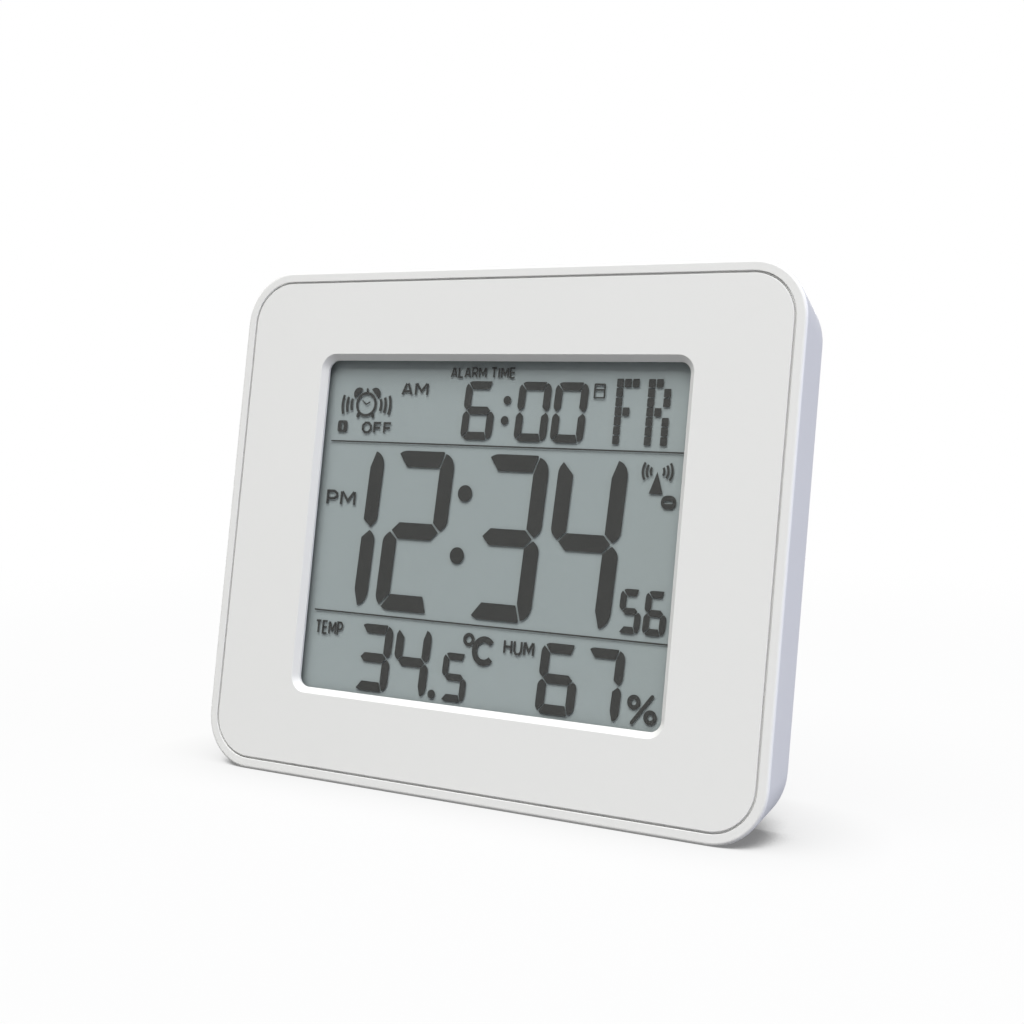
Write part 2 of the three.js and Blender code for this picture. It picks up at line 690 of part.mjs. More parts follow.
function tabbedContact(z) {
  const half = CONTACT_TAB_WIDTH / 2;
  const leaf = contactPlate(contactX, z - CONTACT_HALF_HEIGHT, z + CONTACT_HALF_HEIGHT);
  const [left, right] = [contactX - CONTACT_THICKNESS / 2, contactX + CONTACT_THICKNESS / 2];
  const [tip, root] = [backInner - CONTACT_TAB_REACH, backInner + FIT_GAP + OVERLAP];
  const tab = block(left, right, tip, root, z - half, z + half);
  return joined(leaf, tab);
}

function bridgeContact() {
  return contactPlate(-contactX, lowerCellZ - CONTACT_HALF_HEIGHT, upperCellZ + CONTACT_HALF_HEIGHT);
}

// A coil of round wire along x, eight steps of five sides to the turn.
function spring(side, z) {
  const turns = (SPRING_LENGTH - SPRING_WIRE) / SPRING_PITCH;
  const steps = Math.round(turns * 8);
  const sides = 5;
  const start = contactX - CONTACT_THICKNESS / 2 - FIT_GAP - SPRING_WIRE / 2;
  const centres = [];
  const positions = [];
  for (let step = 0; step <= steps; step += 1) {
    const angle = 2 * Math.PI * turns * step / steps;
    const outward = new THREE.Vector3(0, Math.cos(angle), Math.sin(angle));
    const along = new THREE.Vector3(-side, 0, 0);
    const centre = outward.clone().multiplyScalar(SPRING_RADIUS);
    centre.x = side * (start - SPRING_PITCH * turns * step / steps);
    centres.push(centre);
    for (let k = 0; k < sides; k += 1) {
      const turn = 2 * Math.PI * k / sides;
      const point = centre.clone();
      point.addScaledVector(outward, Math.cos(turn) * SPRING_WIRE / 2);
      point.addScaledVector(along, Math.sin(turn) * SPRING_WIRE / 2);
      positions.push(point.x, point.y + cellDepth, point.z + z);
    }
  }
  const index = [];
  const last = steps * sides;
  for (let k = 1; k < sides - 1; k += 1) {
    index.push(0, k + 1, k);
    index.push(last, last + k, last + k + 1);
  }
  for (let ring = 0; ring < last; ring += sides) {
    for (let k = 0; k < sides; k += 1) {
      const next = (k + 1) % sides;
      index.push(ring + k, ring + next, ring + sides + next);
      index.push(ring + k, ring + sides + next, ring + sides + k);
    }
  }
  if (side < 0) {
    index.reverse();
  }
  reportLeastGap(side, centres);
  const geometry = new THREE.BufferGeometry();
  geometry.setAttribute('position', new THREE.Float32BufferAttribute(positions, 3));
  geometry.setIndex(index);
  return geometry;
}

function reportLeastGap(side, centres) {
  let least = Infinity;
  centres.forEach((from, k) => {
    centres.slice(k + 5).forEach((to) => {
      least = Math.min(least, from.distanceTo(to) - SPRING_WIRE);
    });
  });
  const end = side > 0 ? 'right' : 'left';
  console.log(`${end} battery spring: least gap between turns ${least.toFixed(2)} mm`);
}

// A short lead from a contact tab to its pad on the board.
function lead(z) {
  const start = contactX + CONTACT_THICKNESS / 2 + FIT_GAP;
  const low = partFront + FIT_GAP + LEAD_RADIUS;
  const route = new THREE.CatmullRomCurve3([
    new THREE.Vector3(start, low, z),
    new THREE.Vector3(start + LEAD_REACH * 0.35, low, z + LEAD_RADIUS),
    new THREE.Vector3(start + LEAD_REACH * 0.7, low, z + LEAD_REACH * 0.2),
    new THREE.Vector3(start + LEAD_REACH, low, z + LEAD_REACH * 0.45),
  ]);
  const section = new THREE.Shape();
  section.absarc(0, 0, LEAD_RADIUS, 0, 2 * Math.PI);
  const options = { steps: 6, extrudePath: route, curveSegments: 4, bevelEnabled: false };
  return new THREE.ExtrudeGeometry(section, options);
}

function batteryDoor() {
  const half = bayHalfLength + DOOR_LEDGE - FIT_GAP;
  const sheet = plate(roundedOutline(half, doorBottom, doorTop, DOOR_CORNER - FIT_GAP), doorInner, humpRear);
  const hooks = SIDES.map((side) => {
    const middle = side * HOOK_SPACING / 2;
    const [left, right] = [middle - HOOK_WIDTH / 2, middle + HOOK_WIDTH / 2];
    return block(left, right, hookFront, doorInner + OVERLAP, doorBottom - HOOK_REACH, doorBottom + HOOK_ROOT);
  });
  return joined(sheet, ...hooks);
}

// Controls: each rides in its hole on a flange behind the wall.
function pushButton(x) {
  const cap = centredOutline(BUTTON_WIDTH / 2, BUTTON_HEIGHT / 2, BUTTON_CORNER);
  const crown = centredOutline(
    BUTTON_WIDTH / 2 - BUTTON_EDGE,
    BUTTON_HEIGHT / 2 - BUTTON_EDGE,
    BUTTON_CORNER - BUTTON_EDGE,
  );
  const top = backOuter + BUTTON_PROUD;
  const body = loft([
    { depth: flangeFront, outline: cap },
    { depth: top - BUTTON_EDGE, outline: cap },
    { depth: top, outline: crown },
  ]);
  const lip = centredOutline(BUTTON_WIDTH / 2 + FLANGE_LIP, BUTTON_HEIGHT / 2 + FLANGE_LIP, BUTTON_CORNER);
  const flange = plate(lip, flangeFront, flangeBack);
  const stem = peg(0, 0, STEM_RADIUS, stemTip, flangeFront + OVERLAP, 12);
  return joined(body, flange, stem).translate(x, 0, buttonZ);
}

function tactSwitch(x) {
  const half = TACT_SIZE / 2;
  const [front, back] = [partFront, partFront + TACT_HEIGHT];
  const base = block(-half, half, front, partFront + TACT_HEIGHT * 0.6, -half, half);
  const dome = peg(0, 0, half * 0.6, front + TACT_HEIGHT * 0.3, back, 12);
  return joined(base, dome).translate(x, 0, buttonZ);
}

// The alarm knob rests at the left end of its slot, as the face is seen.
function alarmKnob() {
  const rest = knobX - KNOB_TRAVEL / 2;
  const halfWidth = KNOB_WIDTH / 2;
  const halfHeight = KNOB_HEIGHT / 2;
  const top = backOuter + KNOB_PROUD;
  const cap = block(-halfWidth, halfWidth, flangeFront, top, -halfHeight, halfHeight);
  const lip = halfWidth + KNOB_TRAVEL + FIT_GAP;
  const flange = block(-lip, lip, flangeFront, flangeBack, -halfHeight - FLANGE_LIP, halfHeight + FLANGE_LIP);
  const pin = peg(0, 0, KNOB_HEIGHT / 4, partFront + TACT_HEIGHT + FIT_GAP, flangeFront + OVERLAP, 12);
  return joined(cap, flange, pin).translate(rest, 0, lowerRowZ);
}

function alarmSwitchBody() {
  const halfWidth = KNOB_WIDTH / 2 + KNOB_TRAVEL / 2;
  const [bottom, top] = [lowerRowZ - KNOB_HEIGHT / 2, lowerRowZ + KNOB_HEIGHT / 2];
  return block(knobX - halfWidth, knobX + halfWidth, partFront, partFront + TACT_HEIGHT, bottom, top);
}

// The bar's top follows the drafted top wall.
function snoozeBar() {
  const topAt = (depth) => caseHalfHeight - draftAt(depth) + SNOOZE_PROUD;
  const [front, back] = [0, backOuter];
  const profile = new THREE.Shape([
    new THREE.Vector2(front, snoozeFlangeBottom),
    new THREE.Vector2(back, snoozeFlangeBottom),
    new THREE.Vector2(back, topAt(back)),
    new THREE.Vector2(front, topAt(front)),
  ]);
  const slab = new THREE.ExtrudeGeometry(profile, { depth: CASE_WIDTH, bevelEnabled: false });
  const turn = new THREE.Matrix4().makeBasis(
    new THREE.Vector3(0, 1, 0),
    new THREE.Vector3(0, 0, 1),
    new THREE.Vector3(1, 0, 0),
  );
  slab.applyMatrix4(turn).translate(-caseHalfWidth, 0, 0);
  const bar = common(snoozePlan(0, snoozeFlangeBottom, caseHalfHeight + SNOOZE_PROUD + 1), slab);
  const flange = snoozePlan(FLANGE_LIP, snoozeFlangeBottom, snoozeFlangeTop);
  const stemBottom = snoozeSwitchTop + TACT_CLEARANCE + SNOOZE_TRAVEL;
  const stemTop = snoozeFlangeBottom + OVERLAP;
  const [stemFront, stemBack] = [partFront + SNOOZE_STEM / 2, partFront + SNOOZE_STEM * 1.5];
  const stem = block(-SNOOZE_STEM, SNOOZE_STEM, stemFront, stemBack, stemBottom, stemTop);
  return joined(bar, flange, stem);
}

function snoozeSwitch() {
  const half = TACT_SIZE / 2;
  const bottom = snoozeSwitchTop - SNOOZE_SWITCH_HEIGHT;
  return block(-half, half, partFront, partFront + 2 * SNOOZE_STEM, bottom, snoozeSwitchTop);
}

// Electronics on the back of the board, and the antenna below it.
function chip(x, z, width, height, thickness) {
  return block(x - width / 2, x + width / 2, partFront, partFront + thickness, z - height / 2, z + height / 2);
}

function receiverChip() {
  return chip(0, lowerRowZ, RECEIVER_WIDTH, RECEIVER_HEIGHT, RECEIVER_THICKNESS);
}

function quartzCrystal() {
  const x = -boardBossX + BOARD_BOSS_RADIUS;
  return chip(x, upperCellZ, CRYSTAL_WIDTH, CRYSTAL_HEIGHT, CRYSTAL_THICKNESS);
}

function humiditySensor() {
  const x = boardHalfWidth - SENSOR_FROM_EDGE - SENSOR_WIDTH / 2;
  return chip(x, upperCellZ, SENSOR_WIDTH, SENSOR_HEIGHT, SENSOR_THICKNESS);
}

// The controller sits under a low dome of resin.
function controllerBlob() {
  const profile = [
    [0, partFront],
    [BLOB_RADIUS, partFront],
    [BLOB_RADIUS * 0.9, partFront + BLOB_HEIGHT * 0.5],
    [BLOB_RADIUS * 0.6, partFront + BLOB_HEIGHT * 0.85],
    [0, partFront + BLOB_HEIGHT],
  ];
  return turned(profile, 0, lowerCellZ);
}

function buzzer() {
  const profile = [
    [0, partFront],
    [BUZZER_RADIUS, partFront],
    [BUZZER_RADIUS, partFront + BUZZER_HEIGHT - BUZZER_EDGE],
    [BUZZER_RADIUS - BUZZER_EDGE, partFront + BUZZER_HEIGHT],
    [0, partFront + BUZZER_HEIGHT],
  ];
  return turned(profile, buzzerX, lowerRowZ);
}

function antennaRod() {
  return barAlongX(ANTENNA_RADIUS, ANTENNA_LENGTH, antennaDepth, antennaZ);
}

function antennaCoil() {
  const bore = ANTENNA_RADIUS + LAY_GAP;
  const sleeve = barAlongX(bore + COIL_WALL, COIL_LENGTH, antennaDepth, antennaZ);
  return cut(sleeve, barAlongX(bore, COIL_LENGTH + 1, antennaDepth, antennaZ));
}

// Assembly.
const body = new THREE.Group();

function place(name, geometry, color, roughness, metalness = 0) {
  const material = new THREE.MeshStandardMaterial({ color, roughness, metalness });
  const mesh = new THREE.Mesh(geometry, material);
  mesh.name = name;
  body.add(mesh);
}

const WHITE = '#e4e4e3';
const PALE = '#d9dadc';
const STEEL = '#c3c5c8';
const BLACK = '#26282b';

place('rear_case', rearCase(), WHITE, 0.5);
place('face_panel', facePanel(), WHITE, 0.5);
place('display_lens', displayLens(), '#f2f6f6', 0.08);
place('lcd_cell', lcdCell(), '#c9d2d0', 0.12);
place('lcd_reflector', lcdReflector(), '#98a1a2', 0.6);
place('lcd_retainer', lcdRetainer(), PALE, 0.6);
place('contact_strip_upper', contactStrip(1), '#d98fa0', 0.8);
place('contact_strip_lower', contactStrip(-1), '#d98fa0', 0.8);
place('main_board', mainBoard(), '#2f6b3c', 0.5);
place('controller_blob', controllerBlob(), BLACK, 0.35);
place('receiver_chip', receiverChip(), BLACK, 0.45);
place('quartz_crystal', quartzCrystal(), STEEL, 0.3, 1);
place('humidity_sensor', humiditySensor(), WHITE, 0.6);
place('buzzer', buzzer(), BLACK, 0.5);
place('antenna_rod', antennaRod(), '#3a3a3c', 0.7);
place('antenna_coil', antennaCoil(), '#b0713a', 0.4, 0.6);
place('battery_lower', cell(1, lowerCellZ), '#5d6670', 0.35);
place('battery_upper', cell(-1, upperCellZ), '#5d6670', 0.35);
place('bridge_contact', bridgeContact(), STEEL, 0.3, 1);
place('positive_contact', tabbedContact(lowerCellZ), STEEL, 0.3, 1);
place('negative_contact', tabbedContact(upperCellZ), STEEL, 0.3, 1);
place('bridge_spring', spring(-1, lowerCellZ), STEEL, 0.3, 1);
place('negative_spring', spring(1, upperCellZ), STEEL, 0.3, 1);
place('positive_lead', lead(lowerCellZ), '#b3261e', 0.5);
place('negative_lead', lead(upperCellZ), BLACK, 0.5);
place('battery_door', batteryDoor(), WHITE, 0.5);
place('snooze_bar', snoozeBar(), PALE, 0.5);
place('snooze_switch', snoozeSwitch(), BLACK, 0.5);
place('alarm_knob', alarmKnob(), '#8b9096', 0.5);
place('alarm_switch_body', alarmSwitchBody(), STEEL, 0.3, 1);

buttonNames.forEach((name, k) => {
  place(`${name}_button`, pushButton(buttonSpots[k]), PALE, 0.5);
  place(`${name}_switch`, tactSwitch(buttonSpots[k]), STEEL, 0.4, 0.5);
});

caseCorners.forEach((spot, k) => place(`case_screw_${k + 1}`, caseScrew(spot), STEEL, 0.3, 1));
boardCorners.forEach((spot, k) => place(`board_screw_${k + 1}`, boardScrew(spot), STEEL, 0.3, 1));

// Lean the body back, stand it on the table and centre it over the origin.
body.rotation.x = -LEAN;
const clock = new THREE.Group();
clock.add(body);
clock.updateMatrixWorld(true);
const bounds = new THREE.Box3().setFromObject(clock, true);
body.position.set(0, -(bounds.min.y + bounds.max.y) / 2, -bounds.min.z);

export default clock;
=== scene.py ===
import math

import bmesh
import bpy
from mathutils import Matrix, Vector
from mathutils.geometry import tessellate_polygon


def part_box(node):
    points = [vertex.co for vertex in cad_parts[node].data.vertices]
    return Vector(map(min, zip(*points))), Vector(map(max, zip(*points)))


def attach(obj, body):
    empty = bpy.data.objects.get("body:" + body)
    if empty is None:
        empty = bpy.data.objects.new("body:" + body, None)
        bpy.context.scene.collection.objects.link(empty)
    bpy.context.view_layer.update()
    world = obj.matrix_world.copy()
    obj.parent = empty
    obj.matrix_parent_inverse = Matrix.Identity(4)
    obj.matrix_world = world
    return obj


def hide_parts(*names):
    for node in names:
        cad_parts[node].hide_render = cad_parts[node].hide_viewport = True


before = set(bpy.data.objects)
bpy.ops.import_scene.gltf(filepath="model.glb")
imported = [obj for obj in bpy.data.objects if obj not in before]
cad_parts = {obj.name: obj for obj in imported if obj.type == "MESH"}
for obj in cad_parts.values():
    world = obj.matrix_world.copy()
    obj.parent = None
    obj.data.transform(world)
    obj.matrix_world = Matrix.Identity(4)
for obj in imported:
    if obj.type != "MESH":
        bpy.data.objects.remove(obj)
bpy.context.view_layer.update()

# Sizes are millimetres, as the solids have them. A piece is drawn square to the face, with u to the right,
# w from the face into the case and v up the face, and is then leaned back to where the solids stand.
MM = 0.001
LEAN = math.radians(10.2)

# Case and face panel.
CASE_HALF_WIDTH = 57.25
CASE_HALF_HEIGHT = 47.45
CASE_CORNER = 9.95
SIDE_DRAFT = math.radians(8.4)
FRONT_EDGE = 0.5
FRONT_ROUND = 0.55
REAR_EDGE = 0.5
RIM_WIDTH = 1.85
SIDE_WALL = 2.05
BACK_INNER = 11.0
BACK_OUTER = 13.0
GROOVE = 0.4
GROOVE_LEFT = 0.05
GROOVE_EDGE = 0.09
GROOVE_DEPTH = 0.6
PANEL_THICKNESS = 1.5
PANEL_LEDGE = 1.3
PANEL_SEAT = 1.65
WINDOW_HALF_WIDTH = 38.4
WINDOW_HALF_HEIGHT = 31.8
WINDOW_CORNER = 3.1
WINDOW_DROP = 0.1
WINDOW_BEVEL = 1.05
WINDOW_EDGE = 0.12
GLASS_HALF_WIDTH = 39.45
GLASS_HALF_HEIGHT = 33.95
GLASS_CORNER = 0.3
CONTACT_LEDGE = 2.2
RIB_WALL = 1.2
RIB_END = 3.7
LENS_MIDDLE = 1.9
BOARD_FRONT = 6.2
FIT_GAP = 0.3
LAY_GAP = 0.15
OVERLAP = 0.2

# Fasteners and bosses.
CASE_BOSS = (48.0, 39.0)
CASE_BOSS_RADIUS = 3.0
CASE_POST_HEIGHT = 1.1
CASE_SCREW_RADIUS = 1.3
CASE_HEAD_RADIUS = 2.8
CASE_HEAD_HEIGHT = 1.35
CASE_HEAD_SINK = 1.8
WELL_EDGE = 0.25
BOARD_BOSS = (43.45, 27.16)
BOARD_BOSS_RADIUS = 2.2
BOARD_SCREW_RADIUS = 0.85
BOARD_HEAD_RADIUS = 1.8
BOARD_HEAD_HEIGHT = 1.1
BOARD_BACK = 7.55
PILOT_FLOOR = 2.1
SCREW_TIP = 2.9

# Battery bay, its hump and its door.
HUMP_HALF_WIDTH = 32.8
HUMP_TOP = -3.824
HUMP_REAR = 27.7
HUMP_TAPER = 2.4
HUMP_CORNER = 3.0
HUMP_EDGE = 0.86
HUMP_ROOT = 0.9
BAY_HALF_LENGTH = 29.0
BAY_BOTTOM = -38.424
BAY_TOP = -7.624
BAY_FLOOR = 1.5
DOOR_SEAT = 25.8
DOOR_INNER = 26.1
DOOR_LEDGE = 1.2
DOOR_CORNER = 1.5
DOOR_EDGE = 0.35
HOOK_PLACE = 18.0
HOOK_WIDTH = 6.0
HOOK_REACH = 1.4
HOOK_ROOT = 1.5
HOOK_THICKNESS = 1.1
HOOK_SWING = 0.8
NOTCH_WIDTH = 14.0
NOTCH_RADIUS = 4.0
NOTCH_END = 1.0
CELL_DEPTH = 18.55
CELL_LOWER = -30.574
CELL_UPPER = -15.474
CELL_LENGTH = 50.5
CELL_RADIUS = 7.25
CELL_START = 22.6
CELL_RIM = 0.6
CELL_END_SINK = 0.25
NUB_LENGTH = 1.5
NUB_RADIUS = 2.7
CONTACT_PLACE = 28.45
CONTACT_TAB = (0.55, 1.8)
SPRING_RADIUS = 4.0
SPRING_WIRE = 0.8
SPRING_PITCH = 1.35
SPRING_RISE = 4.2
SPRING_START = 27.5

# Controls.
BUTTON_PLACES = {"time_set": -34.0, "alarm_set": -17.0, "up": 0.0, "down": 17.0, "receive": 34.0}
BUTTON_ROW = 24.0
BUTTON_HALF_WIDTH = 5.0
BUTTON_HALF_HEIGHT = 2.5
BUTTON_CORNER = 2.4
BUTTON_PROUD = 0.7
BUTTON_EDGE = 0.4
BUTTON_HOLE_EDGE = 0.15
FLANGE_FRONT = 9.8
FLANGE_BACK = 10.7
FLANGE_LIP = 1.2
STEM_RADIUS = 1.4
STEM_TIP = 8.95
STRIP_BORDER = 3.0
STRIP_RECESS = 0.8
STRIP_EDGE = 0.3
LOWER_ROW = 8.538
KNOB_PLACE = 28.0
KNOB_TRAVEL = 4.0
KNOB_HALF_WIDTH = 2.6
KNOB_HALF_HEIGHT = 1.7
KNOB_CORNER = 0.35
KNOB_EDGE = 0.3
KNOB_PROUD = 0.9
KNOB_PIN_TIP = 8.3
KNOB_SLOT_CORNER = 0.3
KNOB_SLOT_EDGE = 0.2
KNOB_GROOVE = (0.28, 0.2)
KNOB_GROOVE_DEPTH = 0.4
KNOB_GROOVE_PITCH = 1.1
SNOOZE_HALF_WIDTH = 19.0
SNOOZE_HALF_DEPTH = 2.6
SNOOZE_ROUND = 0.9
SNOOZE_EDGE = 0.5
SNOOZE_DEPTH = 7.2
SNOOZE_PROUD = 0.9
SNOOZE_FLANGE = (41.929, 43.229)
SNOOZE_SKIRT = 5.0
SNOOZE_STEM = 1.5
SNOOZE_STEM_TIP = 38.55
SNOOZE_STEM_DEPTH = (8.3, 9.8)

# Openings for sound and air, and the antenna.
VENT_PLACE = (45.925, CELL_UPPER)
GRILLE_PLACE = (-28.0, LOWER_ROW)
SLOT_HALF_LENGTH = 4.5
SLOT_HALF_WIDTH = 0.6
SLOT_PITCH = 2.6
SLOT_COUNT = 4
SLOT_EDGE = 0.15
ANTENNA_DEPTH = 5.3
ANTENNA_HEIGHT = -39.25
ANTENNA_RADIUS = 2.5
COIL_LENGTH = 24.0
COIL_WIRE = 0.4
COIL_WALL = 0.85
COLLAR_WIDTH = 1.2
COLLAR_GAP = 0.3
WIRE_SHARE = 0.98
CRADLE_PLACE = 22.0
CRADLE_WIDTH = 4.0
CRADLE_WALL = 1.1

# How finely round forms are drawn.
CORNER_STEPS = 14
EDGE_STEPS = 5
ROUND_STEPS = 40
CELL_STEPS = 64
WIRE_STEPS = 10
END_STEPS = 8
SMALL_STEPS = 3
ROUND_END = 0.96
CUT_OVERSHOOT = 1.0
SHARP_EDGE = math.radians(32)


def face_frame():
    """The face's middle and lean, worked out from the display lens, which is centred on the face."""
    low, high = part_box("display_lens")
    turn = Matrix.Rotation(-LEAN, 4, "X")
    middle = (low + high) / 2 - turn @ Vector((0, LENS_MIDDLE * MM, 0))
    return Matrix.Translation(middle) @ turn @ Matrix.Scale(MM, 4)


FACE = face_frame()


def draft_at(depth, angle=LEAN):
    """How far a drafted wall has come in at a depth."""
    return (depth - FRONT_EDGE) * math.tan(angle)


def floor_at(depth):
    return draft_at(depth) - CASE_HALF_HEIGHT


# Nodes and colours.
def add(tree, kind, inputs=(), **settings):
    """Adds a node with its settings; each input takes a value or another node's output."""
    node = tree.nodes.new(kind)
    for name, value in settings.items():
        setattr(node, name, value)
    for key, value in dict(inputs).items():
        if isinstance(value, bpy.types.NodeSocket):
            tree.links.new(value, node.inputs[key])
        else:
            node.inputs[key].default_value = value
    return node


def linear(code):
    """An sRGB hex colour as linear values."""
    shares = [int(code[k:k + 2], 16) / 255 for k in (1, 3, 5)]
    return [c / 12.92 if c <= 0.04045 else ((c + 0.055) / 1.055) ** 2.4 for c in shares] + [1.0]


def per_metre(size):
    """A pattern's scale, from its size in millimetres."""
    return 1 / (size * MM)


def empty_tree(owner):
    """The node tree of a material or a world, cleared."""
    owner.use_nodes = True
    owner.node_tree.nodes.clear()
    return owner.node_tree


def bare_material(name, sockets):
    """A material with its main shader, and the place on the object that its patterns read."""
    material = bpy.data.materials.new(name)
    tree = empty_tree(material)
    place = add(tree, "ShaderNodeTexCoord").outputs["Object"]
    shader = add(tree, "ShaderNodeBsdfPrincipled", sockets)
    add(tree, "ShaderNodeOutputMaterial", {"Surface": shader.outputs["BSDF"]})
    return material, tree, shader, place


def stock(name, shades, drift, grain, roughness, depth=0.0, spread=0.06, **sockets):
    """A plain stock: a colour that drifts between two shades, and a grain that varies the gloss and stands up
    by a small depth. The sizes of drift and grain are millimetres."""
    material, tree, shader, place = bare_material(name, sockets)
    cloud = add(tree, "ShaderNodeTexNoise", {"Vector": place, "Scale": per_metre(drift), "Detail": 2.0})
    inputs = {0: cloud.outputs["Fac"], 6: linear(shades[0]), 7: linear(shades[1])}
    blend = add(tree, "ShaderNodeMix", inputs, data_type="RGBA")
    tree.links.new(blend.outputs[2], shader.inputs["Base Color"])
    speck = add(tree, "ShaderNodeTexNoise", {"Vector": place, "Scale": per_metre(grain), "Detail": 3.0})
    inputs = {0: speck.outputs["Fac"], 3: roughness - spread, 4: roughness + spread}
    gloss = add(tree, "ShaderNodeMapRange", inputs)
    tree.links.new(gloss.outputs[0], shader.inputs["Roughness"])
    if depth:
        inputs = {"Strength": 0.5, "Distance": depth * MM, "Height": speck.outputs["Fac"]}
        bump = add(tree, "ShaderNodeBump", inputs)
        tree.links.new(bump.outputs["Normal"], shader.inputs["Normal"])
    return material


def clear_acrylic():
    """Extruded acrylic, polished: nearly all light goes straight through, with a faint film of dust."""
    sockets = {"Base Color": linear("#f4f7f7"), "IOR": 1.49, "Roughness": 0.06}
    material, tree, shader, place = bare_material("polished_acrylic", sockets)
    dust = add(tree, "ShaderNodeTexNoise", {"Vector": place, "Scale": per_metre(9), "Detail": 4.0})
    film = add(tree, "ShaderNodeMapRange", {0: dust.outputs["Fac"], 3: 0.006, 4: 0.012})
    tree.links.new(film.outputs[0], shader.inputs["Alpha"])
    return material


def display_glass():
    """Float glass with a polariser film on it: clear, with a slight grey-green cast."""
    sockets = {"Base Color": linear("#9aa6a4"), "IOR": 1.52, "Roughness": 0.12}
    material, tree, shader, place = bare_material("polarised_float_glass", sockets)
    stretch = add(tree, "ShaderNodeTexNoise", {"Vector": place, "Scale": per_metre(14), "Detail": 2.0})
    cast = add(tree, "ShaderNodeMapRange", {0: stretch.outputs["Fac"], 3: 0.01, 4: 0.02})
    tree.links.new(cast.outputs[0], shader.inputs["Alpha"])
    return material


def layered_rubber():
    """Silicone laid up in conducting and insulating leaves: fine dark stripes in pink. The leaves are a tenth
    of a millimetre and are drawn at four tenths, so that they show."""
    material, tree, shader, place = bare_material("layered_silicone", {"Roughness": 0.75})
    inputs = {"Vector": place, "Scale": per_metre(0.4) / 20, "Distortion": 0.4, "Detail": 1.0}
    leaves = add(tree, "ShaderNodeTexWave", inputs, bands_direction="X")
    inputs = {0: leaves.outputs["Fac"], 6: linear("#d98fa0"), 7: linear("#6e5157")}
    blend = add(tree, "ShaderNodeMix", inputs, data_type="RGBA")
    tree.links.new(blend.outputs[2], shader.inputs["Base Color"])
    return material


def solder_mask():
    """Green lacquer over etched copper: tracks run as slightly paler, raised lines under a glossy film."""
    material, tree, shader, place = bare_material("lacquered_circuit_board", {"IOR": 1.5, "Roughness": 0.34})
    cells = add(tree, "ShaderNodeTexVoronoi", {"Vector": place, "Scale": per_metre(4)}, distance="CHEBYCHEV")
    track = add(tree, "ShaderNodeMapRange", {0: cells.outputs["Distance"], 1: 0.34, 2: 0.4})
    inputs = {0: track.outputs[0], 6: linear("#2b6238"), 7: linear("#377845")}
    blend = add(tree, "ShaderNodeMix", inputs, data_type="RGBA")
    tree.links.new(blend.outputs[2], shader.inputs["Base Color"])
    inputs = {"Strength": 0.6, "Distance": 0.04 * MM, "Height": track.outputs[0]}
    bump = add(tree, "ShaderNodeBump", inputs)
    tree.links.new(bump.outputs["Normal"], shader.inputs["Normal"])
    return material


def cell_finish():
    """A plain film jacket shrunk on a nickel-plated can: dull colour along it, bright metal at its ends."""
    material, tree, shader, place = bare_material("shrunk_film_on_steel", {})
    bare = add(tree, "ShaderNodeAttribute", attribute_name="bare_end").outputs["Fac"]
    cloud = add(tree, "ShaderNodeTexNoise", {"Vector": place, "Scale": per_metre(6), "Detail": 3.0})
    inputs = {0: cloud.outputs["Fac"], 6: linear("#575f68"), 7: linear("#626b75")}
    film = add(tree, "ShaderNodeMix", inputs, data_type="RGBA")
    inputs = {0: bare, 6: film.outputs[2], 7: linear("#c3c5c8")}
    colour = add(tree, "ShaderNodeMix", inputs, data_type="RGBA")
    tree.links.new(colour.outputs[2], shader.inputs["Base Color"])
    tree.links.new(bare, shader.inputs["Metallic"])
    gloss = add(tree, "ShaderNodeMapRange", {0: cloud.outputs["Fac"], 3: 0.26, 4: 0.4})
    tree.links.new(gloss.outputs[0], shader.inputs["Roughness"])
    return material


# Shapes, each drawn as a bmesh in face millimetres.
def rounded(half_width, bottom, top, corner, steps=CORNER_STEPS):
    """A rectangle with round corners, anticlockwise as the face is seen."""
    middles = [
        (half_width - corner, bottom + corner),
        (half_width - corner, top - corner),
        (corner - half_width, top - corner),
        (corner - half_width, bottom + corner),
    ]
    points = []
    for quarter, (u, v) in enumerate(middles):
        for step in range(steps + 1):
            turn = math.pi / 2 * (quarter - 1 + step / steps)
            points.append((u + corner * math.cos(turn), v + corner * math.sin(turn)))
    return points


def tile(half_width, half_height, corner, steps=CORNER_STEPS):
    """A rectangle with round corners about the middle."""
    return rounded(half_width, -half_height, half_height, corner, steps)


def circle(u, v, radius, steps=ROUND_STEPS):
    turns = [2 * math.pi * step / steps for step in range(steps)]
    return [(u + radius * math.cos(turn), v + radius * math.sin(turn)) for turn in turns]


def shifted(points, u, v):
    return [(x + u, y + v) for x, y in points]


def close_rings(shape, rings):
    """Joins rings of equal count with faces and closes both ends."""
    for near, far in zip(rings, rings[1:]):
        for k in range(len(near)):
            shape.faces.new((near[k - 1], near[k], far[k], far[k - 1]))
    shape.faces.new(rings[0])
    shape.faces.new(rings[-1])
    bmesh.ops.recalc_face_normals(shape, faces=shape.faces)
    return shape


def skin(*sections):
    """A closed skin over outlines of equal count, each at its depth."""
    shape = bmesh.new()
    rings = [[shape.verts.new((u, depth, v)) for u, v in outline] for depth, outline in sections]
    return close_rings(shape, rings)


def prism(outline, front, back):
    return skin((front, outline), (back, outline))


def block(left, right, front, back, bottom, top):
    return prism([(left, bottom), (right, bottom), (right, top), (left, top)], front, back)


def peg(u, v, radius, front, back):
    return prism(circle(u, v, radius), front, back)


def turned_along_u(profile, depth, height, steps=ROUND_STEPS):
    """A round piece on a line along u; each profile point is a place on that line and a radius."""
    shape = bmesh.new()
    rings = []
    for along, radius in profile:
        rings.append([shape.verts.new((along, w, v)) for w, v in circle(depth, height, radius, steps)])
    return close_rings(shape, rings)


